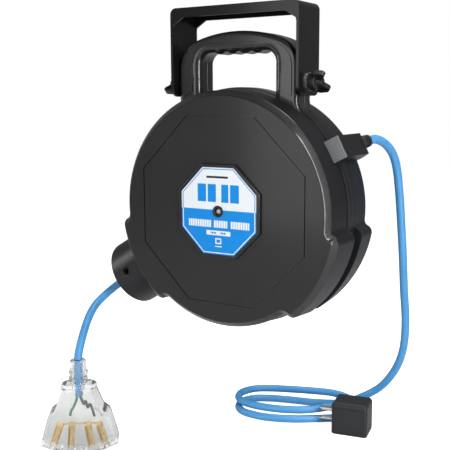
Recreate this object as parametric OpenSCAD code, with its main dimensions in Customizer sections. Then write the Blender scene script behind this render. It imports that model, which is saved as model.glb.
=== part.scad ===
// Retractable extension cord reel on a swivelling ceiling bracket.
// Origin: middle of the bracket's top face. X right, Y back, Z up, millimetres.

/* [Bracket] */
// Outer width of the U bracket
bracket_w = 153.4; // [150:0.2:165]
// Depth of the bracket from front to back
bracket_d = 47; // [44:0.5:50]
// Thickness of the bracket's steel
bracket_t = 3; // [2:0.25:3.5]
// Height of the stiffening flanges along the bracket's top
flange_h = 12; // [8:0.5:14]
// Distance from the bracket's top face down to the pivot
pivot_drop = 79; // [76:0.5:90]
// How far the arms reach below the pivot
arm_tail = 14; // [11:0.5:18]
// Diameter of the four mounting holes
bolt_hole_d = 7; // [5:0.5:9]
// Distance between mounting holes, left to right
bolt_span_x = 90; // [70:1:110]
// Distance between mounting holes, front to back
bolt_span_y = 22; // [16:1:24]

/* [Case] */
// Radius of the round case where its two halves meet
case_r = 125.5; // [125:0.1:127]
// Depth of each half of the case
half_d = 48.5; // [48:0.25:52]
// Wall thickness of the case
wall = 3; // [2.5:0.1:3.2]
// Rounding of the case's front and back edges
edge_r = 7; // [5:0.5:9]
// How much smaller the case is at its faces than where the halves meet
draft = 2; // [1:0.25:2.5]
// Distance from the pivot down to the middle of the case
axis_drop = 131; // [130:0.25:133]
// Half width of the raised belt over the joint of the two halves
belt_half = 9.5; // [8:0.25:11]
// How far the belt stands out
belt_rise = 1; // [0.6:0.1:1.4]
// Width across the octagonal groove on the face
groove_w = 196; // [180:1:204]
// Width of that groove
groove_t = 3.5; // [2:0.25:5]
// Depth of that groove
groove_depth = 0.8; // [0.4:0.1:1.2]
// Number of case screws
screw_n = 7; // [7]

/* [Lobes] */
// How far the two lower lobes stand out
lobe_rise = 10; // [8:0.25:12]
// Angle below level where a lobe's full height starts
lobe_top = 10; // [8:0.5:12]
// Angle below level where a lobe's full height ends
lobe_end = 51; // [48:0.5:54]

/* [Handle] */
// Gap between the handle and each arm of the bracket, filled by a friction pad
pad_t = 1.7; // [1.4:0.1:2.6]
// Width of the hand opening
grip_w = 97; // [88:1:100]
// Depth of the handle from front to back
handle_d = 34; // [30:0.5:36]
// Height of the handle's crown over the middle of the case
crown_h = 184; // [180:0.5:186]
// Thickness of the grip over the hand opening
grip_t = 21; // [18:0.5:24]
// Number of finger scallops under the grip
scallops = 5; // [3:1:6]

/* [Label] */
// Width across the octagonal medallion
medallion_w = 97.5; // [90:0.5:110]
// How far the medallion stands out
medallion_t = 3.5; // [2.5:0.25:5]
// Width across the octagonal label
label_w = 90.4; // [80:0.5:92]
// Thickness of the label
label_t = 0.4; // [0.3:0.1:0.8]

/* [Spool] */
// Diameter of the fixed axle
axle_d = 16; // [14:0.5:18]
// Gap between the spool's flanges and the inside of the case at its faces
flange_gap = 10; // [9.75:0.25:11]
// Outer radius of the spool's hub
hub_r = 55; // [53:0.5:57]
// Space between the flanges
wind_w = 47; // [46:0.25:47.5]
// Thickness of a flange
spool_t = 2.5; // [2:0.1:2.8]
// Least height of a flange over the wound cord
flange_lip = 2.5; // [2:0.25:3]
// Number of ratchet teeth
teeth = 12; // [10:1:14]
// Radial clearance of the spool on its bushes and rollers on pins
run_fit = 0.05; // [0.02:0.01:0.1]

/* [Cord] */
// Diameter of both cords
cord_d = 9.2; // [8.8:0.1:9.3]
// Angle of the cord outlet below level, on the left
outlet_a = 30.8; // [29:0.1:32]
// Diameter of the clamp-on cord stop
stop_d = 76; // [64:1:78]
// Thickness of the cord stop along the cord
stop_t = 40.7; // [36:0.1:44]

/* [Inlet] */
// Angle of the inlet box above level, on the right
inlet_a = 27; // [25:0.25:29]
// How far the box sits above that line
inlet_off = 5.5; // [4:0.5:7]
// Width of the inlet box around the case
inlet_w = 23.2; // [21:0.2:26]
// Distance from the middle of the case to the box's outer face
inlet_r = 140; // [139:0.25:142]
// Place of the box's front end, measured from the joint of the halves
inlet_front = 19.5; // [16:0.5:24]
// Place of the box's back end, measured from the joint of the halves
inlet_back = 47; // [46:0.5:48]
// Angle of the strain relief to the line straight back
relief_turn = 30; // [25:1:35]
// Length of the strain relief outside the box
relief_l = 10; // [8:0.5:12]

/* [Plug and outlets] */
// Width of the plug along its prongs
plug_w = 36; // [32:0.5:38]
// Depth of the plug along its cord
plug_d = 34; // [30:0.5:36]
// Height of the plug
plug_h = 41; // [38:0.5:44]
// Distance between the two blades
blade_gap = 12.7; // [12.7]
// Thickness of the three-way connector
tap_t = 26; // [24:0.5:30]
// Width of the three-way connector at its outlets
tap_w = 86; // [80:1:88]
// Angle between neighbouring outlet faces
tap_fan = 22; // [18:0.5:25]

/* [Hidden] */
$fn = 96;
eps = 0.01;

// --- shared places -----------------------------------------------------------
axis_z = -(pivot_drop + axis_drop);
face_r = case_r - draft;
belt_r = case_r + belt_rise;
lobe_r = case_r + lobe_rise;
arm_in = bracket_w / 2 - bracket_t;
handle_w = 2 * (arm_in - pad_t);
flange_r = face_r - wall - flange_gap;
stud_d = 8;
octagon = 1 / cos(22.5);

// Places around the case's axis: right is 0 degrees, up is 90.
module at_axis() {
    translate([0, 0, axis_z]) children();
}

// A flat outline drawn as (x, z), as thick as from y0 to y1.
module slab(y0, y1) {
    translate([0, y1, 0]) rotate([90, 0, 0]) linear_extrude(y1 - y0) children();
}

// A profile drawn as (radius, y), turned about the Y axis.
module turned() {
    rotate([-90, 0, 0]) rotate_extrude() children();
}

// A rod along Y.
module rod(d, y0, y1, x = 0, z = 0) {
    translate([x, y0, z]) rotate([-90, 0, 0]) cylinder(d = d, h = y1 - y0);
}

module ring(od, id, y0, y1) {
    difference() {
        rod(od, y0, y1);
        rod(id, y0 - 1, y1 + 1);
    }
}

// Turns a thing drawn along +X to the angle given.
module toward(a) {
    rotate([0, -a, 0]) children();
}

module octagon2d(w) {
    rotate(22.5) circle(r = w / 2 * octagon, $fn = 8);
}

// A rectangle with rounded corners, about its middle.
module eased_rectangle(w, h, r) {
    square([w, h - 2 * r], center = true);
    square([w - 2 * r, h], center = true);
    for (x = [-1, 1], y = [-1, 1]) translate([x * (w / 2 - r), y * (h / 2 - r)]) circle(r = r);
}

// A box with rounded edges, about its middle.
module eased_box(size, r) {
    intersection() {
        translate([0, 0, -size.z / 2]) linear_extrude(size.z) eased_rectangle(size.x, size.y, r);
        slab(-size.y / 2, size.y / 2) eased_rectangle(size.x, size.z, r * 0.8);
        translate([-size.x / 2, 0, 0]) rotate([90, 0, 90])
            linear_extrude(size.x) eased_rectangle(size.y, size.z, r * 0.6);
    }
}

// A tube swept along points, round with the number of sides given.
function unit(v) = v / norm(v);
function tangents(p) = [for (i = [0:len(p) - 1])
    unit(p[min(i + 1, len(p) - 1)] - p[max(i - 1, 0)])];
function carried(t, i = 0, last = undef) =
    i == len(t) ? [] :
    let (seed = is_undef(last) ? (abs(t[0].z) < 0.9 ? [0, 0, 1] : [0, 1, 0]) : last,
         n = unit(seed - (seed * t[i]) * t[i]))
    concat([n], carried(t, i + 1, n));

module swept(p, d, sides, first = undef, last = undef) {
    t0 = tangents(p);
    t = [for (i = [0:len(p) - 1])
        i == 0 && !is_undef(first) ? first :
        i == len(p) - 1 && !is_undef(last) ? last : t0[i]];
    n = carried(t);
    r = d / 2 / sqrt((1 + cos(180 / sides)) / 2);
    polyhedron(
        points = [for (i = [0:len(p) - 1]) let (b = cross(t[i], n[i]))
            for (k = [0:sides - 1])
                p[i] + r * (cos(360 * k / sides) * n[i] + sin(360 * k / sides) * b)],
        faces = concat(
            [[for (k = [0:sides - 1]) sides - 1 - k]],
            [for (i = [0:len(p) - 2], k = [0:sides - 1]) let (a = i * sides + k,
                b = i * sides + (k + 1) % sides) each [[a, b, b + sides], [a, b + sides, a + sides]]],
            [[for (k = [0:sides - 1]) (len(p) - 1) * sides + k]]));
}

// A smooth curve through hand-chosen points: a Catmull-Rom curve in even steps.
function knot(p, i) = i < 0 ? 2 * p[0] - p[1] :
    i > len(p) - 1 ? 2 * p[len(p) - 1] - p[len(p) - 2] : p[i];
function between(p, i, f) =
    let (a = knot(p, i - 1), b = knot(p, i), c = knot(p, i + 1), e = knot(p, i + 2))
    0.5 * ((2 * b) + (c - a) * f + (2 * a - 5 * b + 4 * c - e) * f * f
        + (3 * b - a - 3 * c + e) * f * f * f);
function smooth_line(p, steps) = concat(
    [for (i = [0:len(p) - 2], k = [0:steps - 1]) between(p, i, k / steps)], [p[len(p) - 1]]);
function line_length(p) = len(p) < 2 ? 0 :
    [for (i = [0:len(p) - 2]) norm(p[i + 1] - p[i])] * [for (i = [0:len(p) - 2]) 1];

// --- bracket ------------------------------------------------------------------
module arm_outline() {
    corner = 10;
    top = -pivot_drop - arm_tail;
    union() {
        translate([-bracket_d / 2, top + corner]) square([bracket_d, -top - corner]);
        translate([-bracket_d / 2 + corner, top]) square([bracket_d - 2 * corner, corner + eps]);
        for (s = [-1, 1])
            translate([s * (bracket_d / 2 - corner), top + corner]) circle(r = corner);
    }
}

// The U seen from the front: a plate and two arms with bent corners.
module u_outline() {
    bend = 7;
    w = bracket_w / 2;
    difference() {
        union() {
            translate([-w + bend, -bend]) square([2 * (w - bend), bend]);
            translate([-w, -pivot_drop - arm_tail]) square([2 * w, pivot_drop + arm_tail - bend]);
            for (s = [-1, 1]) translate([s * (w - bend), -bend]) circle(r = bend);
        }
        in_r = bend - bracket_t;
        translate([-arm_in + in_r, -bend]) square([2 * (arm_in - in_r), bend - bracket_t]);
        translate([-arm_in, -pivot_drop - arm_tail - 1])
            square([2 * arm_in, pivot_drop + arm_tail + 1 - bend]);
        for (s = [-1, 1]) translate([s * (arm_in - in_r), -bend]) circle(r = in_r);
    }
}

module bracket() {
    gusset = 8;
    color("#202124") difference() {
        union() {
            intersection() {
                slab(-bracket_d / 2, bracket_d / 2) u_outline();
                translate([-bracket_w / 2 - 1, 0, 0]) rotate([90, 0, 90])
                    linear_extrude(bracket_w + 2) arm_outline();
            }
            for (s = [-1, 1]) translate([0, s * (bracket_d - bracket_t) / 2, 0])
                slab(-bracket_t / 2, bracket_t / 2)
                    polygon([
                        [-arm_in, -bracket_t], [arm_in, -bracket_t],
                        [arm_in, -flange_h - gusset], [arm_in - gusset * 1.6, -flange_h],
                        [-arm_in + gusset * 1.6, -flange_h], [-arm_in, -flange_h - gusset],
                    ]);
        }
        for (x = [-1, 1], y = [-1, 1])
            translate([x * bolt_span_x / 2, y * bolt_span_y / 2, -bracket_t - 1])
                cylinder(d = bolt_hole_d, h = bracket_t + 2);
        translate([-bracket_w, 0, -pivot_drop]) rotate([0, 90, 0])
            cylinder(d = stud_d + 0.4, h = 2 * bracket_w);
    }
}

// --- swivel hardware ------------------------------------------------------------
knob_hub_d = 17.5;
washer_t = 1.6;
knob_out = 26;
pad_d = 22;
washer_d = 19;
insert_l = 14;

// Things drawn along +X from the pivot's middle, on one side or the other.
module at_pivot(side) {
    translate([0, 0, -pivot_drop]) rotate([0, 0, side > 0 ? 0 : 180]) children();
}

module along_x(d, x0, x1) {
    translate([x0, 0, 0]) rotate([0, 90, 0]) cylinder(d = d, h = x1 - x0);
}

module tube_x(od, id, x0, x1) {
    difference() {
        along_x(od, x0, x1);
        along_x(id, x0 - 1, x1 + 1);
    }
}

module knob_washers() {
    color("#8d9196") for (s = [-1, 1]) at_pivot(s)
        tube_x(washer_d, stud_d + 0.4, bracket_w / 2, bracket_w / 2 + washer_t);
}

module friction_pads() {
    color("#2b2b2b") for (s = [-1, 1]) at_pivot(s)
        tube_x(pad_d, stud_d + 0.4, handle_w / 2, handle_w / 2 + pad_t);
}

module pivot_inserts() {
    color("#c9a24b") for (s = [-1, 1]) at_pivot(s)
        tube_x(12, stud_d + 2 * run_fit, handle_w / 2 - insert_l, handle_w / 2);
}

knob_x = bracket_w / 2 + washer_t;
stud_end = handle_w / 2 - insert_l;

module stud(side) {
    color("#9da1a6") at_pivot(side) along_x(stud_d, stud_end, knob_x + 12);
}

knob_turn = 45;

module knob(side) {
    color("#1b1c1e") at_pivot(side) rotate([side * knob_turn, 0, 0]) difference() {
        union() {
            along_x(knob_hub_d, knob_x, knob_x + 8);
            translate([knob_x + 8, 0, 0]) rotate([0, 90, 0])
                cylinder(d1 = knob_hub_d, d2 = 9, h = 6);
            hull() for (z = [-1, 1]) {
                translate([knob_x + 8, 0, z * 5]) rotate([90, 0, 0])
                    cylinder(d = 7, h = 6.5, center = true, $fn = 32);
                translate([knob_x + knob_out - 4, 0, z * 8]) rotate([90, 0, 0])
                    cylinder(d = 7, h = 5, center = true, $fn = 32);
            }
        }
        along_x(stud_d, knob_x - 1, knob_x + 12);
    }
}

// --- case -----------------------------------------------------------------------
// Half of the case's section, drawn as (radius, distance from the joint), grown by add.
module half_section(add, belt) {
    r = face_r + add;
    union() {
        polygon([
            [0, 0], [0, half_d], [r - edge_r, half_d], [r, half_d - edge_r],
            [case_r + add, belt_half], [belt ? belt_r : case_r + add, belt_half],
            [belt ? belt_r : case_r + add, 0],
        ]);
        translate([r - edge_r, half_d - edge_r]) circle(r = edge_r);
    }
}

module half_cavity(add) {
    r = face_r + add - wall;
    in_r = edge_r - wall;
    union() {
        polygon([
            [0, -1], [0, half_d - wall], [r - in_r, half_d - wall], [r, half_d - edge_r],
            [case_r + add - wall, belt_half], [case_r + add - wall, -1],
        ]);
        translate([r - in_r, half_d - edge_r]) circle(r = in_r);
    }
}

// One lobe seen from the front, between its two angles, with rounded shoulders.
module lobe_outline(side, add, corner) {
    r = lobe_r + add;
    mirror([side < 0 ? 1 : 0, 0]) union() {
        intersection() {
            circle(r = r);
            polygon([[0, 0],
                2 * r * [cos(lobe_top), -sin(lobe_top)],
                2 * r * [cos(lobe_end), -sin(lobe_end)]]);
        }
        for (a = [lobe_top, lobe_end]) rotate(-a) {
            translate([r - corner, 0]) circle(r = corner);
            translate([0, -corner]) square([r - corner, 2 * corner]);
        }
    }
}

// Both lobes of one half, as a body of the turned section cut to their outline.
module half_lobes(add, cavity) {
    corner = cavity ? 4 : 7;
    for (s = [-1, 1]) intersection() {
        turned() mirror([0, 1]) if (cavity) half_cavity(lobe_rise); else half_section(lobe_rise, false);
        slab(-half_d - 1, -belt_half - (cavity ? wall : 0)) lobe_outline(s, 0, corner);
    }
}

// Handle outline, drawn from the case's middle, taken in by inset.
module handle_outline(inset) {
    w = handle_w / 2 - inset;
    crown_r = 160 - inset;
    shoulder_r = 32 - inset;
    crown_z = crown_h - 160;
    shoulder_z = crown_z + sqrt(pow(crown_r - shoulder_r, 2) - pow(w - shoulder_r, 2));
    meet = asin((w - shoulder_r) / (crown_r - shoulder_r));
    foot = 104;
    polygon(concat(
        [[w, 60]],
        [for (i = [0:8]) let (a = (90 - meet) * i / 8)
            [w - shoulder_r + shoulder_r * cos(a), shoulder_z + shoulder_r * sin(a)]],
        [for (i = [1:7]) let (a = 90 - meet + 2 * meet * i / 8)
            [crown_r * cos(a), crown_z + crown_r * sin(a)]],
        [for (i = [8:-1:0]) let (a = (90 - meet) * i / 8)
            [-w + shoulder_r - shoulder_r * cos(a), shoulder_z + shoulder_r * sin(a)]],
        [[-w, 60]]));
    for (s = [-1, 1]) difference() {
        translate([s > 0 ? w - 1 : -w - 9, foot - 30]) square([10, 30]);
        translate([s * (w + 14), foot]) circle(r = 14);
    }
}

// The hand opening, grown by inset, with finger scallops under the grip.
module grip_outline(inset) {
    w = grip_w / 2 + inset;
    top = crown_h - grip_t + inset;
    r = 11 + inset;
    pitch = (grip_w - 22) / scallops;
    difference() {
        union() {
            translate([-w + r, 100]) square([2 * (w - r), top - 100]);
            translate([-w, 100]) square([2 * w, top - r - 100]);
            for (s = [-1, 1]) translate([s * (w - r), top - r]) circle(r = r);
        }
        if (inset < 2) for (i = [0:scallops - 2])
            translate([(i - (scallops - 2) / 2) * pitch, top + 6.8]) circle(r = 9);
    }
}

// Raised panel on the face of the handle.
module handle_panel() {
    difference() {
        handle_outline(5.5);
        grip_outline(4.5);
        circle(r = 134);
    }
}

// Front half of the handle: steps in depth take the edges off.
module handle_half() {
    soft = 3.5;
    face = handle_d / 2 - 0.9;
    difference() {
        union() {
            slab(-face + soft, 0) handle_outline(0);
            slab(-face + 1.2, 0) handle_outline(1.2);
            slab(-face, 0) handle_outline(soft);
            slab(-handle_d / 2, -face + 1) handle_panel();
        }
        slab(-face + soft, 1) grip_outline(0);
        slab(-face + 1.2, 0) grip_outline(1.2);
        slab(-face - 1, 0) grip_outline(3);
    }
}

// Inside of the handle's half: hollow, but solid round the pivot inserts.
module handle_hollow() {
    leg_mid = (handle_w / 2 + grip_w / 2) / 2;
    leg_in = (handle_w - grip_w) / 2 - 2 * wall - 2;
    pivot_h = axis_drop;
    for (s = [-1, 1]) translate([s * leg_mid, 0]) {
        translate([-leg_in / 2, pivot_h + 13]) square([leg_in, 14]);
        translate([-leg_in / 2, 90]) square([leg_in, pivot_h - 13 - 90]);
    }
}

boss_r = 116.6;
boss_d = 8;
case_screw_d = 3.5;
boss_angles = [8, 62, 118, 172, 236, 270, 304];
outlet_dir = 180 + outlet_a;

module half_shell(screw_side) {
    at_axis() difference() {
        union() {
            difference() {
                union() {
                    turned() mirror([0, 1]) half_section(0, true);
                    half_lobes(0, false);
                }
                turned() mirror([0, 1]) half_cavity(0);
                half_lobes(0, true);
            }
            difference() {
                handle_half();
                turned() mirror([0, 1]) half_cavity(0);
                slab(-handle_d / 2 + wall, 1) handle_hollow();
            }
            for (i = [0:screw_n - 1]) toward(boss_angles[i]) {
                rod(boss_d, -half_d + wall - eps, 0, boss_r);
                // rib that ties the boss to the rim
                translate([boss_r, -half_d + edge_r - 2, -boss_d / 4])
                    cube([face_r - 0.6 - boss_r, half_d - edge_r + 2, boss_d / 2]);
            }
            rod(axle_d + 10, -half_d + 1, -half_d + wall + 7);
        }
        // axle seat, with the hole for its end screw
        rod(axle_d, -half_d + wall + 1, 0);
        rod(5, -half_d - 1, 0);
        // screw holes: a pilot on one half, clearance and a sunk head on the other
        for (i = [0:screw_n - 1]) toward(boss_angles[i]) {
            rod(case_screw_d, screw_side ? -half_d - 1 : -26, 1, boss_r);
            if (screw_side) rod(7, -half_d - 1, -half_d + 6, boss_r);
        }
        // octagonal groove on the face
        slab(-half_d - 1, -half_d + groove_depth) difference() {
            octagon2d(groove_w);
            octagon2d(groove_w - 2 * groove_t);
        }
        // pivot inserts
        translate([0, 0, axis_drop]) for (s = [-1, 1]) rotate([0, 0, s > 0 ? 0 : 180])
            along_x(12, handle_w / 2 - insert_l, handle_w / 2 + 1);
        // cord outlet, lined by the grommet
        toward(outlet_dir) along_x(grommet_d, 100, 140);
    }
}

module front_shell() {
    color("#3a3b3e") difference() {
        half_shell(false);
        // way in for the wires under the inlet box
        at_axis() toward(inlet_a) translate([case_r - 8, -18.5, -3.5]) cube([20, 17.5, 10]);
    }
}

module rear_shell() {
    color("#303134") mirror([0, 1, 0]) half_shell(true);
}

module medallion() {
    rim = (medallion_w - label_w) / 2;
    at_axis() color("#232427") difference() {
        union() {
            slab(-half_d - medallion_t + 1, -half_d) octagon2d(medallion_w);
            slab(-half_d - medallion_t, -half_d) octagon2d(medallion_w - 2);
        }
        slab(-half_d - medallion_t - 1, -half_d - medallion_t + label_t + 0.3) octagon2d(label_w);
        rod(cap_d, -half_d - medallion_t - 1, -half_d + 1);
    }
}

module label() {
    y0 = -half_d - medallion_t + 0.3;
    at_axis() color("#1784d6") difference() {
        slab(y0, y0 + label_t) octagon2d(label_w);
        rod(cap_d, y0 - 1, y0 + 2);
    }
}

cap_d = 12;
screw_head_d = 7;

module axle_cap() {
    at_axis() color("#151515") difference() {
        rod(cap_d, -half_d - medallion_t - 1, -half_d);
        rod(screw_head_d, -half_d - medallion_t - 2, -half_d - 1);
        rod(5, -half_d - 2, -half_d + 1);
    }
}

module axle_screws() {
    at_axis() color("#b9bcc0") {
        // front screw, sunk in the cap
        rod(5, -half_d - 1, -axle_l / 2 + 12);
        rod(screw_head_d, -half_d - 3.4, -half_d - 1);
        // rear screw, with its head on the rear face
        rod(5, axle_l / 2 - 12, half_d);
        rod(9, half_d, half_d + 3);
    }
}

module case_screws() {
    at_axis() color("#8d9196") for (i = [0:screw_n - 1]) mirror([0, 1, 0])
        toward(boss_angles[i]) {
            rod(6.6, -half_d + 4, -half_d + 6, boss_r);
            rod(case_screw_d, -half_d + 6, 20, boss_r);
        }
}

axle_l = 2 * (half_d - wall - 1);

module axle() {
    at_axis() color("#a7abb0") difference() {
        rod(axle_d, -axle_l / 2, axle_l / 2);
        for (s = [-1, 1]) rod(5, s > 0 ? axle_l / 2 - 14 : -axle_l / 2 - 1, s > 0 ? axle_l / 2 + 1 : -axle_l / 2 + 14);
    }
}

// --- spool ------------------------------------------------------------------------
flange_y = wind_w / 2;
bush_od = 24;
hub_wall = 3;
hub_in = hub_r - hub_wall;
hub_mid = hub_r - hub_wall / 2;
cover_t = 3;
// each layer lies partly between the turns below it
layer_rise = 0.935 * cord_d;
lay_over = 0.065 * cord_d;
wind_layers = floor((flange_r - flange_lip - hub_r - lay_over) / layer_rise);
wind_r = hub_r + wind_layers * layer_rise + lay_over;
disc_r = 44;
disc_t = 5;
ring_mid = [21, 29, 37];
ring_w = 4;
ring_t = 2;
disc_front = -flange_y - spool_t - disc_t;
ratchet_y = flange_y + spool_t;

module spool_hub() {
    at_axis() color("#43464a") difference() {
        rod(2 * hub_r, -flange_y, flange_y);
        rod(2 * hub_in, -flange_y + hub_wall, flange_y + 1);
        rod(bush_od, -flange_y - 1, flange_y);
        for (a = [45:90:359]) toward(a) {
            rod(3, -flange_y - 1, -flange_y + hub_wall + 1, hub_r - 9);
            rod(2, flange_y - 6, flange_y + 1, hub_mid);
        }
    }
}

module front_flange() {
    at_axis() color("#4b4e52") difference() {
        rod(2 * flange_r, -flange_y - spool_t, -flange_y);
        rod(bush_od, -flange_y - spool_t - 1, 0);
        for (a = [45:90:359]) toward(a) rod(3, -flange_y - 5, 0, hub_r - 9);
    }
}

module rear_flange() {
    at_axis() color("#4b4e52") difference() {
        ring(2 * flange_r, 2 * hub_in, flange_y, flange_y + spool_t);
        for (a = [45:90:359]) toward(a) rod(2, 0, flange_y + 5, hub_mid);
    }
}

module front_bush() {
    at_axis() color("#d8c47a")
        ring(bush_od, axle_d + 2 * run_fit, -flange_y - spool_t, -flange_y + hub_wall + 4);
}

module rear_bush() {
    at_axis() color("#d8c47a")
        ring(bush_od, axle_d + 2 * run_fit, flange_y - 5, flange_y + spool_t);
}

module spring_cover() {
    at_axis() color("#8d9196") ring(2 * hub_in, bush_od, flange_y - cover_t, ratchet_y);
}

// The mainspring: a flat strip wound in a spiral from the arbor to the hub.
spring_turns = 7;
spring_in = 14;
spring_strip = 1;

module mainspring() {
    out = hub_in - spring_strip / 2;
    n = spring_turns * 16;
    r = [for (i = [0:n]) spring_in + (out - spring_in) * i / n];
    a = [for (i = [0:n]) 360 * spring_turns * i / n];
    at_axis() color("#5d6f8c") slab(-13, 13) polygon(concat(
        [for (i = [0:n]) (r[i] - spring_strip / 2) * [cos(a[i]), sin(a[i])]],
        [for (i = [n:-1:0]) (r[i] + spring_strip / 2) * [cos(a[i]), sin(a[i])]]));
}

module spring_arbor() {
    at_axis() color("#6d7075") ring(2 * spring_in - spring_strip - 0.8, axle_d, -14, 14);
}

module slip_ring_disc() {
    at_axis() color("#e6e0cf") difference() {
        ring(2 * disc_r, bush_od + 2, disc_front, disc_front + disc_t);
        for (r = ring_mid) ring(2 * r + ring_w, 2 * r - ring_w, disc_front - 1, disc_front + ring_t - 0.5);
    }
}

module slip_rings() {
    at_axis() color("#d9a441") for (r = ring_mid)
        ring(2 * r + ring_w, 2 * r - ring_w, disc_front - 0.5, disc_front + ring_t - 0.5);
}

ratchet_t = 4;
ratchet_root = 33;
ratchet_tip = 37;

module ratchet_wheel() {
    at_axis() color("#b9bcc0") difference() {
        slab(ratchet_y, ratchet_y + ratchet_t) polygon([for (i = [0:teeth - 1])
            let (a = 360 * i / teeth) each [
                ratchet_root * [cos(a), sin(a)], ratchet_tip * [cos(a), sin(a)],
                ratchet_root * [cos(a + 360 / teeth - 1), sin(a + 360 / teeth - 1)],
            ]]);
        rod(bush_od + 2, ratchet_y - 1, ratchet_y + ratchet_t + 1);
    }
}

module spool_screws() {
    at_axis() color("#8d9196") for (a = [45:90:359]) toward(a) {
        rod(3, -flange_y - spool_t, -flange_y + hub_wall, hub_r - 9);
        rod(2, flange_y - 6, flange_y + spool_t, hub_mid);
    }
}

module wound_cord() {
    // the groove is the turn that has just been pulled out
    at_axis() color("#4f9bdb") difference() {
        ring(2 * wind_r, 2 * hub_r, -flange_y, flange_y);
        ring(2 * wind_r + 2, 2 * (wind_r - cord_d - 0.4), -cord_d / 2 - 0.4, cord_d / 2 + 0.4);
    }
}

// --- brushes, wires and pawl ----------------------------------------------------------
brush_d = 6;
holder_front = -half_d + wall;
holder_back = disc_front - 2.5;
brush_tip = disc_front - 0.5 - 0.05;

module brush_holder() {
    at_axis() color("#d8d2c0") difference() {
        translate([-8, holder_front, ring_mid[0] - 6])
            cube([16, holder_back - holder_front, ring_mid[2] - ring_mid[0] + 12]);
        for (r = ring_mid) rod(brush_d, holder_front + 2, 0, 0, r);
    }
}

module brushes() {
    at_axis() color("#3c3c3c") for (r = ring_mid) rod(brush_d, brush_tip - 6, brush_tip, 0, r);
}

module brush_springs() {
    at_axis() color("#b9bcc0") for (r = ring_mid) translate([0, 0, r])
        ring(4.4, 3, holder_front + 2, brush_tip - 6);
}

// Three wires from the inlet box, over the front flange, to the brush holder.
module inner_wires() {
    for (k = [-1:1]) let (g = 1.9 * k) color(["#202020", "#e8e8e8", "#2f8f4e"][k + 1]) swept([
        relief_place(-entry_l) + g * (inlet_place(0, 0, 1) - inlet_place(0, 0, 0)),
        inlet_place(case_r + 2, inlet_back - 18, 8 + g), inlet_place(case_r + 2, 18, 7 + g),
        inlet_place(case_r + 2, 2, 3 + g),
        inlet_place(126.5, -8, g), inlet_place(121, -13, g), inlet_place(116, -19, g),
        inlet_place(114, -27, g), inlet_place(109, -34, g),
        [78 + 3 * k, -38, axis_z + 48 + 5 * k], [40, -38, axis_z + 40 + 7 * k],
        [9, -38, axis_z + ring_mid[1 + k]], [8, -38, axis_z + ring_mid[1 + k]],
    ], 1.7, 6, -lead_way, [-1, 0, 0]);
}

pawl_pivot = [46, 32];
pawl_w = 7;

module pawl() {
    // reaches from its pin to just clear of the next tooth
    tip = [ratchet_tip + 0.5, 3.5];
    at_axis() color("#c9ccd0") difference() {
        union() {
            rod(pawl_w + 3, ratchet_y + 0.2, ratchet_y + ratchet_t - 0.2, pawl_pivot.x, pawl_pivot.y);
            slab(ratchet_y + 0.2, ratchet_y + ratchet_t - 0.2) polygon([
                pawl_pivot + [-pawl_w / 2 - 0.5, 1], pawl_pivot + [pawl_w / 2, 1],
                tip + [6.5, 0], tip + [0.6, -1.2], tip + [0.4, 1.5],
            ]);
        }
        rod(4 + 2 * run_fit, 0, half_d, pawl_pivot.x, pawl_pivot.y);
    }
}

module pawl_pin() {
    at_axis() color("#8d9196")
        rod(4, ratchet_y - 0.5 + 0.6, half_d - wall, pawl_pivot.x, pawl_pivot.y);
}

module pawl_spring() {
    at_axis() color("#b9bcc0") translate([pawl_pivot.x, 0, pawl_pivot.y])
        ring(9, 4.4, ratchet_y + ratchet_t + 0.2, half_d - wall);
}

// --- cord outlet -------------------------------------------------------------------------
grommet_d = 18;
arc_end = lobe_r - 2.5;
lay_r = wind_r - cord_d / 2;
arc_r = (pow(arc_end, 2) - pow(lay_r, 2)) / (2 * lay_r);
arc_a = 90 - atan(arc_r / arc_end);
roller_d = 8;
roller_l = 22;
roller_pin_d = 3;
roller_gap = 0.3;
upper_touch = 111;
lower_touch = 119;

// Middle of a roller, as (distance out, height over the outlet's line): square to the
// bent cord at the distance out where the roller touches it.
function roller_place(side) =
    let (t = asin((arc_end - (side > 0 ? upper_touch : lower_touch)) / arc_r),
         reach = arc_r - side * (cord_d / 2 + roller_d / 2 + roller_gap))
    [arc_end - reach * sin(t), arc_r - reach * cos(t)];

// Things drawn with +X out along the cord outlet and +Z up along the case.
module at_outlet() {
    at_axis() rotate([0, 180 - outlet_a, 0]) mirror([0, 0, 1]) children();
}

module cord_run() {
    color("#4f9bdb") at_outlet() union() {
        translate([arc_end, 0, arc_r]) rotate([90, 0, 0])
            rotate_extrude(start = 270 - arc_a, angle = arc_a) translate([arc_r, 0]) circle(d = cord_d);
        along_x(cord_d, arc_end - 0.5, stop_out + 1);
    }
}

module roller(side) {
    place = roller_place(side);
    color("#d9dadb") at_outlet() translate([place.x, 0, place.y]) difference() {
        rod(roller_d, -roller_l / 2, roller_l / 2);
        rod(roller_pin_d + 2 * run_fit, -roller_l, roller_l);
    }
}

module roller_pins() {
    color("#9da1a6") at_outlet() for (s = [-1, 1]) let (place = roller_place(s))
        rod(roller_pin_d, -roller_l / 2 - frame_gap - frame_t, roller_l / 2 + frame_gap + frame_t,
            place.x, place.y);
}

frame_gap = 0.5;
frame_t = 3;

// The room inside the closed case.
module case_inside() {
    turned() half_cavity(0);
    turned() mirror([0, 1]) half_cavity(0);
}

// Two cheeks that hold the roller pins, joined by a bar, seated in the case's wall.
module outlet_frame() {
    in_y = roller_l / 2 + frame_gap;
    color("#3f4246") difference() {
        intersection() {
            at_outlet() union() {
                for (s = [-1, 1]) translate([108.5, s > 0 ? in_y : -in_y - frame_t, -14])
                    cube([20, frame_t, 42]);
                translate([108.5, -in_y - frame_t, 25]) cube([20, 2 * (in_y + frame_t), 5]);
            }
            at_axis() case_inside();
        }
        at_outlet() for (s = [-1, 1]) let (place = roller_place(s))
            rod(roller_pin_d, -30, 30, place.x, place.y);
    }
}

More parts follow.
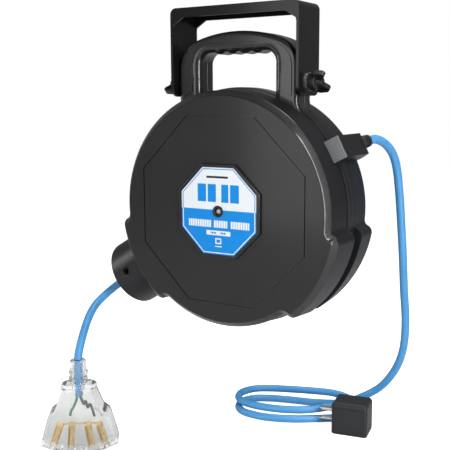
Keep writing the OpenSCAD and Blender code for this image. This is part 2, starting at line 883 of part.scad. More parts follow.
module outlet_grommet() {
    color("#1b1c1e") at_outlet() difference() {
        intersection() {
            along_x(grommet_d, case_r - wall - 2, belt_r + 2);
            turned() translate([case_r - wall - 1.5, -20]) square([belt_r + 0.6 - case_r + wall + 1.5, 40]);
        }
        along_x(cord_d + 1, 100, 140);
        cord_clearance();
    }
}

// Room round the bent cord where it passes the grommet.
module cord_clearance() {
    translate([arc_end, 0, arc_r]) rotate([90, 0, 0])
        rotate_extrude(start = 270 - arc_a, angle = arc_a) translate([arc_r, 0]) circle(d = cord_d + 1);
}

stop_in = lobe_r + 0.3;
stop_out = stop_in + stop_t;

module stop_body() {
    soft = 5;
    rotate([0, 90, 0]) rotate_extrude() union() {
        translate([0, stop_in]) square([stop_d / 2, stop_t - soft]);
        translate([0, stop_in]) square([stop_d / 2 - soft, stop_t]);
        translate([stop_d / 2 - soft, stop_out - soft]) circle(r = soft);
    }
}

module stop_half(side) {
    color("#26272a") at_outlet() difference() {
        intersection() {
            stop_body();
            translate([stop_in - 1, side < 0 ? -stop_d : 0, -stop_d])
                cube([stop_t + 2, stop_d, 2 * stop_d]);
        }
        along_x(cord_d, stop_in - 1, stop_out + 1);
        for (z = [-1, 0, 1]) if (z != 0 || side < 0)
            rod(z == 0 ? 7 : 4, -stop_d, z == 0 ? -stop_d / 2 + 12 : stop_d, stop_mid, z * 20);
        for (z = [-1, 1]) rod(8, -stop_d, -16, stop_mid, z * 20);
    }
}

stop_mid = (stop_in + stop_out) / 2;

module stop_screws() {
    color("#8d9196") at_outlet() for (z = [-1, 1]) {
        rod(7.6, -19, -16, stop_mid, z * 20);
        rod(4, -16, 14, stop_mid, z * 20);
    }
}

// Free stretch from the stop to the three-way connector; points chosen by hand.
reel_points = [
    [-161, -1, -306.3], [-170, -4, -313.5], [-178, -10, -321], [-183, -20, -328.5],
    [-184, -33, -335.5], [-180.5, -47, -342], [-174.5, -61, -348.5], [-168.5, -73.5, -356],
    [-164, -84, -365], [-161.8, -91, -375], [-161, -94, -384],
];
tap_top = [-161, -94, -384];
outlet_out = [-cos(outlet_a), 0, -sin(outlet_a)];
reel_line = smooth_line(concat([[0, 0, axis_z] + (stop_out + 1) * outlet_out], reel_points), 2);

module reel_cord() {
    color("#4f9bdb") swept(reel_line, cord_d, 10, outlet_out, [0, 0, -1]);
}

// --- three-way connector --------------------------------------------------------------------
tap_turn = 36;
tap_neck_d = 20.8;
tap_neck_l = 26;
tap_h = 107.5;
tap_face = 26;
tap_wall = 2.5;

module at_tap() {
    translate(tap_top) rotate([0, 0, tap_turn]) children();
}

// Outline from the collar down, taken in by inset.
module tap_outline(inset) {
    i = inset;
    low = -tap_h + i;
    corner = [tap_w / 2 - i, -tap_h + (tap_w - tap_face) / 2 * tan(tap_fan)];
    for (s = [0, 1]) mirror([s, 0]) polygon([
        [0, -tap_neck_l - 4.5 - i], [17 - i, -tap_neck_l - 4.5 - i], [27 - i, -55 - i],
        [33 - i, -59.5 - i], [35 - i, -64 - i], [corner.x, corner.y + 2.5], [corner.x, corner.y + i],
        [tap_face / 2, low], [0, low],
    ]);
}

module tap_slots() {
    for (k = [-1, 0, 1]) tap_outlet(k) {
        for (x = [-1, 1]) translate([x * blade_gap / 2 - 1.2, -4, -1]) cube([2.4, 8, 22]);
        translate([0, 11.9 * 0.75, -1]) cylinder(d = 5.2, h = 22);
    }
}

// Things drawn with +Z going into one of the three outlet faces.
module tap_outlet(k) {
    mid = tap_face / 2 + (tap_w - tap_face) / 4;
    rise = (tap_w - tap_face) / 4 * tan(tap_fan);
    translate([k * mid, 0, -tap_h + abs(k) * rise]) rotate([0, -k * tap_fan, 0])
        translate([0, -3, 0]) children();
}

module tap_body() {
    color("#e4edf0") at_tap() difference() {
        union() {
            translate([0, 0, -tap_neck_l]) cylinder(d = tap_neck_d, h = tap_neck_l);
            translate([-20, -12, -tap_neck_l - 4.5]) cube([40, 24, 4.5]);
            slab(-tap_t / 2, tap_t / 2) tap_outline(0);
        }
        translate([0, 0, -tap_neck_l - 6]) cylinder(d = cord_d + 0.4, h = tap_neck_l + 7);
        translate([0, 0, -tap_neck_l - 12]) cylinder(d = 14, h = 12);
        slab(-tap_t / 2 + tap_wall, tap_t / 2 - tap_wall) tap_outline(tap_wall + 0.5);
        for (z = [-15, -22]) translate([0, 0, z]) difference() {
            cylinder(d = tap_neck_d + 2, h = 2);
            translate([0, 0, -1]) cylinder(d = tap_neck_d - 2.4, h = 4);
        }
        tap_slots();
    }
}

module tap_contacts() {
    color("#d9b45c") at_tap() {
        for (k = [-1, 0, 1]) tap_outlet(k) {
            for (x = [-1, 1]) difference() {
                translate([x * blade_gap / 2 - 2.4, -4.5, 4.5]) cube([4.8, 9, 20]);
                translate([x * blade_gap / 2 - 1.2, -5, 3]) cube([2.4, 10, 19.5]);
            }
            translate([0, 11.9 * 0.75, 4.5]) difference() {
                cylinder(d = 7, h = 16);
                translate([0, 0, -1]) cylinder(d = 5, h = 14);
            }
        }
        translate([-26, -7, -78]) cube([52, 1.2, 6]);
    }
}

jacket_l = 41;

module tap_jacket() {
    color("#4f9bdb") at_tap() translate([0, 0, -jacket_l]) cylinder(d = cord_d, h = jacket_l);
}

module tap_wires() {
    z = -jacket_l;
    at_tap() {
        color("#2f8f4e") swept([[-2.6, 0, z], [-3, 0, z - 5], [-6, 1, z - 13], [-10, 2, z - 20],
            [-11, 2.5, z - 25]], 2.4, 6, [0, 0, -1], [0, 0, -1]);
        color("#26282b") swept([[0.4, 2.6, z], [1, 3, z - 5], [6, 3.5, z - 11], [13, 2.5, z - 17],
            [16, 1, z - 23], [16.5, 0.5, z - 26]], 2.4, 6, [0, 0, -1], [0, 0, -1]);
        color("#f0f0f0") swept([[2.6, -1.4, z], [3.4, -2, z - 5], [9, -3, z - 10], [17, -3.5, z - 14],
            [23, -3.5, z - 19], [25, -3.5, z - 24]], 2.4, 6, [0, 0, -1], [0, 0, -1]);
    }
}

// --- inlet --------------------------------------------------------------------------------------
cap_t = 2.5;
slant = [11, 9];
relief_at = [inlet_r - slant.x / 2, inlet_back - slant.y / 2 + 1, inlet_off + 2.5];
relief_d = 15.5;
entry_l = 12;

// A place given as distance out, place along the case, and distance up across the box.
function inlet_place(r, y, t) = [r * cos(inlet_a) - t * sin(inlet_a), y,
    axis_z + r * sin(inlet_a) + t * cos(inlet_a)];
// A place on the cord's line through the relief, so far from the box's slanted end.
function relief_place(along) = inlet_place(relief_at.x + along * sin(relief_turn),
    relief_at.y + along * cos(relief_turn), relief_at.z);

// Things drawn with +X out through the inlet box, Y along it and Z across it.
module at_inlet() {
    at_axis() toward(inlet_a) children();
}

// Things drawn with +X out along the cord's line through the strain relief.
module at_relief() {
    at_inlet() translate(relief_at) rotate([0, 0, 90 - relief_turn]) children();
}

module case_outside() {
    turned() mirror([0, 1]) half_section(0, true);
    turned() half_section(0, true);
}

// The box seen along its width, taken in by inset: its back end is cut at a slant.
module inlet_outline(inset) {
    i = inset;
    polygon([
        [118, -inlet_front + cap_t], [inlet_r - i, -inlet_front + cap_t],
        [inlet_r - i, inlet_back - slant.y - i * 0.6], [inlet_r - slant.x - i * 0.6, inlet_back - i],
        [118, inlet_back - i],
    ]);
}

module inlet_box() {
    w = inlet_w;
    color("#1e1f21") difference() {
        at_inlet() translate([0, 0, inlet_off - w / 2]) linear_extrude(w) inlet_outline(0);
        at_inlet() translate([0, 0, inlet_off - w / 2 + 2]) linear_extrude(w - 4) union() {
            inlet_outline(2);
            translate([118, -inlet_front - 1]) square([inlet_r - 120, 10]);
        }
        at_relief() along_x(relief_d - 4, -6, 3);
        at_axis() case_outside();
    }
}

module inlet_cap() {
    color("#6e7074") difference() {
        at_inlet() translate([118, -inlet_front, inlet_off - inlet_w / 2])
            cube([inlet_r - 118, cap_t, inlet_w]);
        at_axis() case_outside();
    }
}

// Tapered bush with a ribbed collar; half of it is inside the box.
module strain_relief() {
    color("#1a1b1c") difference() {
        union() {
            at_relief() along_x(relief_d - 4, -10, 1);
            difference() {
                at_relief() translate([-3, 0, 0]) rotate([0, 90, 0])
                    cylinder(d1 = relief_d, d2 = cord_d + 3.6, h = relief_l + 3);
                at_inlet() translate([0, 0, -30]) linear_extrude(90) inlet_outline(0);
            }
        }
        at_relief() along_x(cord_d, -20, 30);
        for (x = [3.2, 6]) at_relief() tube_x(relief_d + 4, relief_d - 3.4 - x / 3, x, x + 1.1);
    }
}

lead_start = relief_place(relief_l + 0.5);
lead_way = unit(relief_place(1) - relief_place(0));

// The exact length of cord held in the inlet box and the strain relief.
module lead_entry() {
    color("#4f9bdb") at_relief() along_x(cord_d, -entry_l, relief_l + 0.5);
}

// Free stretch from the strain relief down to the hank; points chosen by hand.
drop_points = [
    [123.7, 63, -138.6], [126.3, 73, -140.7], [129, 82, -145], [131.9, 90, -152],
    [134, 96, -161.2], [135.3, 101, -173.5], [136.1, 105, -189.2], [137.1, 108.5, -210.6],
    [138.3, 112, -239], [139.8, 115.5, -273.4], [139.9, 122, -311.8], [139.4, 131.5, -347],
    [136.8, 138, -376], [132.5, 141.3, -396], [125.2, 144.8, -413.5],
    [115, 148, -430], [103.6, 150.5, -443.5], [90.5, 151.3, -454], [76.5, 148.3, -462.5],
    [62, 141.5, -469], [48, 132, -473], [33, 121.3, -475.6], [17, 110.8, -476.9],
];

// Hank: two loops lying one on the other, then down a layer at the right-hand end.
floor_z = -491.5;
hank_low = floor_z + 4.6;
hank_high = hank_low + 9.9;
hank_points = [
    [17, 110.8, -476.9], [-1, 102.3, hank_high], [-20, 96.8, hank_high], [-40, 94.8, hank_high],
    [-58, 97.5, hank_high], [-71, 107, hank_high], [-77, 121.5, hank_high],
    [-74.5, 136, hank_high], [-66, 149, hank_high], [-50.5, 158.5, hank_high],
    [-32, 166.5, hank_high], [-12, 174, hank_high], [8, 180.5, hank_high], [25, 184.5, hank_high],
    [39.6, 185.5, -478], [50.4, 183.4, -480], [59.5, 177.4, -482.5], [65.8, 168.5, -484.8],
    [68.3, 157.8, -486.3], [66.6, 147, hank_low], [60.9, 137.6, hank_low], [54, 131.7, hank_low],
    [44, 124.7, hank_low], [30, 114.8, hank_low], [13, 103.5, hank_low], [-6, 94.5, hank_low],
    [-27, 88.7, hank_low], [-43.8, 89, hank_low], [-53.7, 90.7, hank_low], [-63.2, 96.4, hank_low],
    [-69.9, 105.3, hank_low], [-72.7, 116, hank_low], [-71.4, 127, hank_low],
    [-66, 136.6, hank_low], [-58, 143, hank_low], [-43, 150.3, hank_low], [-20, 157.5, hank_low],
    [2, 163, hank_low],
];

// Last stretch, up over the end of the loops and into the back of the plug.
tail_points = [
    [22, 166.8, -485.6], [41, 167, -482.4], [57, 163, -478.6], [69.5, 155.3, -475.3],
    [77.8, 145.8, -473.7], [81, 139.3, -473.5],
];

// --- plug -------------------------------------------------------------------------------------------
plug_corner = [70, 96];
plug_turn = 10;
plug_exit_z = -473.5;

module at_plug() {
    translate([plug_corner.x, plug_corner.y, floor_z]) rotate([0, 0, plug_turn])
        translate([plug_w / 2, plug_d / 2, plug_h / 2]) children();
}

plug_back = [plug_corner.x + plug_w / 2 * cos(plug_turn) - plug_d * sin(plug_turn),
    plug_corner.y + plug_w / 2 * sin(plug_turn) + plug_d * cos(plug_turn), plug_exit_z];
plug_in = [sin(plug_turn), -cos(plug_turn), 0];

lead_points = concat([lead_start], drop_points, [for (i = [1:len(hank_points) - 1]) hank_points[i]],
    tail_points, [plug_back]);
lead_line = smooth_line(lead_points, 2);
drop_end = 2 * len(drop_points);
hank_end = drop_end + 2 * (len(hank_points) - 1);
function part_of(p, a, b) = [for (i = [a:b]) p[i]];
function way_at(i) = unit(lead_line[i + 1] - lead_line[i - 1]);

module lead_drop() {
    color("#4f9bdb") swept(part_of(lead_line, 0, drop_end), cord_d, 10, lead_way, way_at(drop_end));
}

module lead_hank() {
    color("#4f9bdb") swept(part_of(lead_line, drop_end, hank_end), cord_d, 6,
        way_at(drop_end), way_at(hank_end));
}

module lead_tail() {
    color("#4f9bdb") swept(part_of(lead_line, hank_end, len(lead_line) - 1), cord_d, 10,
        way_at(hank_end), plug_in);
}

module plug_body() {
    color("#2b2c2e") at_plug() difference() {
        eased_box([plug_w, plug_d, plug_h], 4);
        prongs();
    }
}

// Two flat blades and a round pin, pointing left.
module prongs() {
    for (z = [-1, 1]) translate([-plug_w / 2 - 17, -7, z * blade_gap / 2 - 0.75])
        cube([17 + 8, 6.35, 1.5]);
    translate([-plug_w / 2 - 19, 8, 0]) rotate([0, 90, 0]) cylinder(d = 4.8, h = 19 + 8);
}

module plug_prongs() {
    color("#c9ccd0") at_plug() prongs();
}

// Printed sizes for whoever changes the cords: lengths, and the least gap between
// stretches of the lead that are more than a few points apart.
function least_gap(p, skip) = min([for (i = [0:len(p) - 1], j = [0:len(p) - 1])
    if (j > i + skip) norm(p[i] - p[j])]) - cord_d;
echo(lead_length = line_length(lead_line), reel_cord_length = line_length(reel_line));
echo(lead_gap = least_gap(lead_line, 6));

bracket();
knob_washers();
pivot_inserts();
friction_pads();
knob(-1);  // left_knob
stud(-1);  // left_stud
knob(1);  // right_knob
stud(1);  // right_stud
front_shell();
rear_shell();
medallion();
label();
axle_cap();
axle_screws();
case_screws();
axle();
spool_hub();
front_flange();
rear_flange();
front_bush();
rear_bush();
spring_cover();
mainspring();
spring_arbor();
slip_ring_disc();
slip_rings();
ratchet_wheel();
spool_screws();
wound_cord();
brush_holder();
brushes();
brush_springs();
inner_wires();
cord_run();
pawl();
pawl_pin();
pawl_spring();
outlet_frame();
roller(1);  // upper_roller
roller(-1);  // lower_roller
roller_pins();
outlet_grommet();
stop_half(-1);  // stop_front_half
stop_half(1);  // stop_rear_half
stop_screws();
reel_cord();
tap_body();
tap_contacts();
tap_wires();
tap_jacket();
inlet_box();
inlet_cap();
strain_relief();
lead_entry();
lead_drop();
lead_hank();
lead_tail();
plug_body();
plug_prongs();
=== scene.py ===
import math

import bpy
from mathutils import Matrix, Vector


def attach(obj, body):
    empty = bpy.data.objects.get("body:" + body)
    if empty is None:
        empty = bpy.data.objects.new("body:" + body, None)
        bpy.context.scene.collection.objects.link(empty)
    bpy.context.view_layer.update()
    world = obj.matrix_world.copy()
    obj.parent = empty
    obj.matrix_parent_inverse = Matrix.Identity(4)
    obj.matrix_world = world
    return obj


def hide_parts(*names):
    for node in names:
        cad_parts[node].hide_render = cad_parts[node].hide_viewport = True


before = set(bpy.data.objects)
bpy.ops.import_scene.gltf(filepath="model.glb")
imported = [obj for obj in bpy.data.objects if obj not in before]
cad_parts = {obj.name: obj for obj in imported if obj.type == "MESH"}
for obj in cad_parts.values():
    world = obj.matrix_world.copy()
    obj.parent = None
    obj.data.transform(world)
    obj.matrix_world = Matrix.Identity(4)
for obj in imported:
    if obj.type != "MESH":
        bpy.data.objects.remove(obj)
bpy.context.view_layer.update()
MM = 0.001

# --- camera ---------------------------------------------------------------------------
# A fairly long lens in front of the reel, well to its right and a little above its middle,
# looking back down at it.
camera_place = Vector((0.4360, -0.7405, -0.0963))
camera_turn = math.radians(31.84)
camera_dip = math.radians(8.91)
camera_roll = math.radians(-0.35)
LENS, FILM_W = 64, 36

ahead = Vector((-math.sin(camera_turn) * math.cos(camera_dip),
                math.cos(camera_turn) * math.cos(camera_dip), -math.sin(camera_dip)))
right = Vector((math.cos(camera_turn), math.sin(camera_turn), 0))
up = right.cross(ahead)
rolled_right = math.cos(camera_roll) * right + math.sin(camera_roll) * up
rolled_up = math.cos(camera_roll) * up - math.sin(camera_roll) * right
camera = bpy.data.objects.new("camera", bpy.data.cameras.new("camera"))
camera.data.lens = LENS
camera.data.sensor_width = FILM_W
axes = Matrix((rolled_right, rolled_up, -ahead)).transposed()
camera.matrix_world = Matrix.Translation(camera_place) @ axes.to_4x4()
bpy.context.scene.collection.objects.link(camera)
bpy.context.scene.camera = camera
bpy.context.scene.view_settings.view_transform = "Standard"


# --- cords ----------------------------------------------------------------------------
# Two round three-core cords in a blue vinyl jacket: the one that the reel pays out,
# down to its connector, and the supply lead, laid in a hank that ends in the plug.
CORD_D = 0.0092
AXIS_Z = -0.210
OUTLET_ANGLE = math.radians(30.8)
OUTLET_WAY = Vector((-math.cos(OUTLET_ANGLE), 0, -math.sin(OUTLET_ANGLE)))
STOP_IN = 0.1358
STOP_OUT = STOP_IN + 0.0407

reel_route = [
    Vector((0, 0, AXIS_Z)) + (STOP_OUT + 0.001) * OUTLET_WAY,
    (-0.161, -0.001, -0.3063), (-0.170, -0.004, -0.3135), (-0.178, -0.010, -0.321),
    (-0.183, -0.020, -0.3285), (-0.184, -0.033, -0.3355), (-0.1805, -0.047, -0.342),
    (-0.1745, -0.061, -0.3485), (-0.1685, -0.0735, -0.356), (-0.164, -0.084, -0.365),
    (-0.1618, -0.091, -0.375), (-0.161, -0.094, -0.384),
]

FLOOR_Z = -0.4915
LOOP_RISE = 0.0099
LOW = FLOOR_Z + CORD_D / 2
HIGH = LOW + LOOP_RISE
PLUG_BACK = (0.0818232, 0.1326085, -0.4735)
LEAD_EXIT = (0.120886, 0.0525933, -0.139427)
lead_route = [
    LEAD_EXIT,
    (0.1237, 0.063, -0.1386), (0.1263, 0.073, -0.1407), (0.129, 0.082, -0.145),
    (0.1319, 0.090, -0.152), (0.134, 0.096, -0.1612), (0.1353, 0.101, -0.1735),
    (0.1361, 0.105, -0.1892), (0.1371, 0.1085, -0.2106), (0.1383, 0.112, -0.239),
    (0.1398, 0.1155, -0.2734), (0.1399, 0.122, -0.3118), (0.1394, 0.1315, -0.347),
    (0.1368, 0.138, -0.376), (0.1325, 0.1413, -0.396), (0.1252, 0.1448, -0.4135),
    (0.115, 0.148, -0.430), (0.1036, 0.1505, -0.4435), (0.0905, 0.1513, -0.454),
    (0.0765, 0.1483, -0.4625), (0.062, 0.1415, -0.469), (0.048, 0.132, -0.473),
    (0.033, 0.1213, -0.4756), (0.017, 0.1108, -0.4769),
    (-0.001, 0.1023, HIGH), (-0.020, 0.0968, HIGH), (-0.040, 0.0948, HIGH),
    (-0.058, 0.0975, HIGH), (-0.071, 0.107, HIGH), (-0.077, 0.1215, HIGH),
    (-0.0745, 0.136, HIGH), (-0.066, 0.149, HIGH), (-0.0505, 0.1585, HIGH),
    (-0.032, 0.1665, HIGH), (-0.012, 0.174, HIGH), (0.008, 0.1805, HIGH),
    (0.025, 0.1842, HIGH),
    (0.0396, 0.1850, -0.478), (0.0504, 0.1834, -0.480), (0.0595, 0.1774, -0.4825),
    (0.0658, 0.1685, -0.4848), (0.0683, 0.1578, -0.4863), (0.0666, 0.147, LOW),
    (0.0609, 0.1376, LOW), (0.054, 0.1317, LOW), (0.044, 0.1247, LOW), (0.030, 0.1148, LOW),
    (0.013, 0.1035, LOW), (-0.006, 0.0945, LOW), (-0.027, 0.0887, LOW), (-0.0438, 0.089, LOW),
    (-0.0537, 0.0907, LOW), (-0.0632, 0.0964, LOW), (-0.0699, 0.1053, LOW),
    (-0.0727, 0.116, LOW), (-0.0714, 0.127, LOW), (-0.066, 0.1366, LOW), (-0.058, 0.143, LOW),
    (-0.043, 0.1503, LOW), (-0.020, 0.1575, LOW), (0.002, 0.163, LOW),
    (0.022, 0.1668, -0.4856), (0.041, 0.167, -0.4824), (0.057, 0.163, -0.4786),
    (0.0695, 0.1553, -0.4753), (0.0778, 0.1458, -0.4737), (0.081, 0.1393, -0.4735),
    PLUG_BACK,
]


def smooth_route(points, steps):
    """Points on a Catmull-Rom curve through the route, in even steps."""
    points = [Vector(p) for p in points]
    ends = [2 * points[0] - points[1]] + points + [2 * points[-1] - points[-2]]
    line = []
    for a, b, c, d in zip(ends, ends[1:], ends[2:], ends[3:]):
        for f in (k / steps for k in range(steps)):
            line.append(0.5 * (2 * b + (c - a) * f + (2 * a - 5 * b + 4 * c - d) * f ** 2
                               + (3 * b - a - 3 * c + d) * f ** 3))
    return line + [points[-1]]


def run_of_cord(name, points, diameter):
    """A round cord along the points, closed at both ends."""
    curve = bpy.data.curves.new(name, "CURVE")
    curve.dimensions = "3D"
    curve.bevel_depth = diameter / 2
    curve.bevel_resolution = 8
    curve.use_fill_caps = True
    spline = curve.splines.new("POLY")
    spline.points.add(len(points) - 1)
    for knot, place in zip(spline.points, points):
        knot.co = (*place, 1)
    spline.use_smooth = True
    piece = bpy.data.objects.new(name, curve)
    bpy.context.scene.collection.objects.link(piece)
    return piece


class Wire:
    """The output of a shader node, which adds and multiplies like a number."""

    def __init__(self, tree, socket):
        self.tree = tree
        self.socket = socket

    def maths(self, operation, other=None, turned=False):
        """The result of a Math node on this and another, the two swapped if turned."""
        node = self.tree.nodes.new("ShaderNodeMath")
        node.operation = operation
        for place, term in zip(node.inputs, (other, self) if turned else (self, other)):
            if isinstance(term, Wire):
                self.tree.links.new(term.socket, place)
            elif term is not None:
                place.default_value = term
        return Wire(self.tree, node.outputs[0])

    def __add__(self, other):
        return self.maths("ADD", other)

    def __sub__(self, other):
        return self.maths("SUBTRACT", other)

    def __rsub__(self, other):
        return self.maths("SUBTRACT", other, turned=True)

    def __mul__(self, other):
        return self.maths("MULTIPLY", other)

    def __abs__(self):
        return self.maths("ABSOLUTE")

    def __gt__(self, other):
        return self.maths("GREATER_THAN", other)

    def __lt__(self, other):
        return self.maths("LESS_THAN", other)

    __radd__ = __add__
    __rmul__ = __mul__


# sockets of a Mix node that carry its share and its two colours, and its colour's way out
MIX_SHARE, MIX_FIRST, MIX_SECOND, MIX_OUT = 0, 6, 7, 2


class Finish:
    """A surface finish being mixed for one kind of piece."""

    def __init__(self, name):
        self.material = bpy.data.materials.new(name)
        self.material.use_nodes = True
        self.tree = self.material.node_tree
        self.shader = self.tree.nodes["Principled BSDF"]

    def fill(self, node, sockets):
        for key, value in sockets.items():
            if isinstance(value, Wire):
                self.tree.links.new(value.socket, node.inputs[key])
            else:
                node.inputs[key].default_value = value

    def node(self, kind, settings=None, sockets=None, out=0):
        node = self.tree.nodes.new("ShaderNode" + kind)
        for key, value in (settings or {}).items():
            if key == "stops":
                for k, (at, colour) in enumerate(value):
                    ramp = node.color_ramp.elements
                    stop = ramp[k] if k < len(ramp) else ramp.new(at)
                    stop.position = at
                    stop.color = colour
            else:
                setattr(node, key, value)
        self.fill(node, sockets or {})
        return Wire(self.tree, node.outputs[out])

    def surface(self, sockets):
        self.fill(self.shader, sockets)
        return self

    def place(self):
        return self.node("TexCoord", out="Object")

    def axes(self):
        """How far a point lies across, back and up, one output each."""
        split = self.node("SeparateXYZ", sockets={"Vector": self.place()}).socket.node
        return [Wire(self.tree, output) for output in split.outputs]

    def noise(self, scale, detail):
        return self.node("TexNoise", sockets={
            "Vector": self.place(), "Scale": scale, "Detail": detail})

    def blend(self, share, first, second):
        return self.node("Mix", {"data_type": "RGBA"}, {
            MIX_SHARE: share, MIX_FIRST: first, MIX_SECOND: second}, MIX_OUT)

    def bumps(self, height, distance):
        return self.node("Bump", sockets={
            "Height": height, "Distance": distance, "Strength": 1.0})


def tone(*screen):
    """A colour given as it shows on a screen, 0 to 255, made linear."""
    shares = [level / 255 for level in screen]
    linear = [s / 12.92 if s <= 0.04045 else ((s + 0.055) / 1.055) ** 2.4 for s in shares]
    return (*linear, 1)


def blue_vinyl():
    """Satin vinyl jacket, a little uneven where it was drawn over the three cores."""
    finish = Finish("blue_vinyl")
    patch = finish.noise(38, 2)
    fine = finish.noise(900, 3)
    return finish.surface({
        "Base Color": finish.blend(patch, tone(60, 134, 190), tone(74, 146, 200)),
        "Roughness": 0.30 + 0.16 * patch,
        "Normal": finish.bumps(fine + 2.2 * patch, 0.00012),
        "Specular IOR Level": 0.5,
    }).material


cord_blue = blue_vinyl()
reel_cord = run_of_cord("paid_out_cord", smooth_route(reel_route, 6), CORD_D)
supply_lead = run_of_cord("supply_lead", smooth_route(lead_route, 5), CORD_D)
for piece in (reel_cord, supply_lead):
    piece.data.materials.append(cord_blue)
    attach(piece, "housing")
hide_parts("reel_cord")
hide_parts("lead_drop", "lead_hank", "lead_tail")


# --- floor and light ------------------------------------------------------------------
# A pale matt floor under the hank and white all round, which black plastic mirrors only in
# part, and six soft lamps: two strips on the right and a weaker one on the left, one above
# and two broad ones in front.
FLOOR_SIZE, FLOOR_GAP = 8, 0.0003
FLOOR_GLOW = 0.95
AMBIENT = 0.13
MIRRORED_WHITE, WHITE_THROUGH_CLEAR = 0.08, 0.2


def seen_white(tree, through):
    """The share of the white that a ray sees, less in a mirror or through clear plastic."""
    rays = tree.nodes.new("ShaderNodeLightPath").outputs
    straight, refracted, mirrored = (Wire(tree, rays[f"Is {kind} Ray"])
                                     for kind in ("Camera", "Transmission", "Glossy"))
    seen = straight.maths("MAXIMUM", through * refracted)
    return seen.maths("MAXIMUM", MIRRORED_WHITE * mirrored)


def white_floor():
    """A matt floor that glows where it is looked at and still keeps the reel's shadow."""
    finish = Finish("white_floor")
    return finish.surface({
        "Base Color": (0.66, 0.66, 0.66, 1), "Roughness": 0.9, "Specular IOR Level": 0.1,
        "Emission Color": (1, 1, 1, 1),
        "Emission Strength": seen_white(finish.tree, WHITE_THROUGH_CLEAR) * FLOOR_GLOW,
    }).material


bpy.ops.object.select_all(action="DESELECT")
bpy.ops.mesh.primitive_plane_add(size=FLOOR_SIZE, location=(0, 0, FLOOR_Z - FLOOR_GAP))
floor = bpy.context.object
floor.name = "floor"
floor.data.materials.append(white_floor())

world = bpy.data.worlds.new("studio")
bpy.context.scene.world = world
world.use_nodes = True
sky = world.node_tree
strength = AMBIENT + (1 - AMBIENT) * seen_white(sky, 1)
sky.nodes["Background"].inputs["Color"].default_value = (1, 1, 1, 1)
sky.links.new(strength.socket, sky.nodes["Background"].inputs["Strength"])


def soft_lamp(name, way, distance, size, watts):
    """A rectangular lamp that looks at the case's middle from the way given."""
    lamp = bpy.data.lights.new(name, "AREA")
    lamp.shape = "RECTANGLE"
    lamp.size, lamp.size_y = size
    lamp.energy = watts
    lit = bpy.data.objects.new(name, lamp)
    way = Vector(way).normalized()
    lit.location = Vector((0, 0, AXIS_Z)) + distance * way
    lit.rotation_euler = way.to_track_quat("Z", "Y").to_euler()
    bpy.context.scene.collection.objects.link(lit)


soft_lamp("right_strip", (0.83, -0.46, -0.10), 1.2, (0.08, 0.9), 11)
soft_lamp("upper_right", (0.66, -0.46, 0.52), 1.2, (0.08, 0.8), 10)
soft_lamp("top", (0.10, 0.22, 0.97), 1.4, (1.0, 0.4), 13)
soft_lamp("left_front", (-0.26, -0.96, 0.06), 1.7, (0.8, 0.9), 6)
soft_lamp("left_strip", (-0.88, -0.42, 0.22), 1.3, (0.1, 0.8), 4)
soft_lamp("front_fill", (0.10, -0.90, 0.42), 1.9, (0.6, 0.6), 3.5)


# --- case -----------------------------------------------------------------------------
# Two moulded halves of black grained plastic that meet in the middle of the belt, each
# with half of the handle, held by screws from the rear. The face's edge is a flat chamfer
# between two small roundings. Outlines are in millimetres and degrees from here on.
CASE_R, BELT_R, LOBE_R = 125.5, 126.5, 135.5
BELT_HALF = 9.5
HALF_D = 48.5
LOBE_TOP, LOBE_FOOT, LOBE_SPREAD = -10, -51, 3.1
LOBE_FILLET, LOBE_ROUND = 4, 10
HANDLE_W, HANDLE_D = 144, 34
PANEL_D, PANEL_INSET, PANEL_FOOT_R = 0.9, 6.4, 134
GRIP_HALF, GRIP_TOP, GRIP_LOW, GRIP_CORNER = 45, 163, 100, 12
GRIP_FRAME = 9.0
SCALLOP_R, SCALLOP_D, SCALLOP_MIDDLES = 9, 2.2, (7.5, 22.5)
CROWN_H, CROWN_R, SHOULDER_R = 184, 160, 32
FLARE_H, FLARE_R, FLARE_FOOT = 113.4, 20, (7, 60)
HANDLE_ROUND, GRIP_ROUND = 5.0, 7.5
GROOVE_OUT, GROOVE_IN, GROOVE_D = 98, 96.5, 1.2
BOSS_R = 116.6
BOSS_ANGLES = (8, 62, 118, 172, 236, 270, 304)
CASE_MIDDLE = Vector((0, 0, AXIS_Z))
PIVOT = Vector((0, 0, -0.079))


def arc(middle, radius, start, end, steps):
    """Points of an arc, each with its direction from the arc's middle, in degrees."""
    angles = [math.radians(start + (end - start) * k / steps) for k in range(steps + 1)]
    ways = [Vector((math.cos(a), math.sin(a))) for a in angles]
    return [(Vector(middle) + radius * way, way) for way in ways]


def polar(radius, degrees):
    """A point at a distance and an angle from the middle."""
    return radius * Vector((math.cos(math.radians(degrees)), math.sin(math.radians(degrees))))


def mirrored(half):
    """A right half from top to bottom, and its mirror image back up."""
    back = [(Vector((-p.x, p.y)), Vector((-w.x, w.y))) for p, w in half[::-1]]
    return half + [(p, w) for p, w in back if abs(p.x) > 0.001]


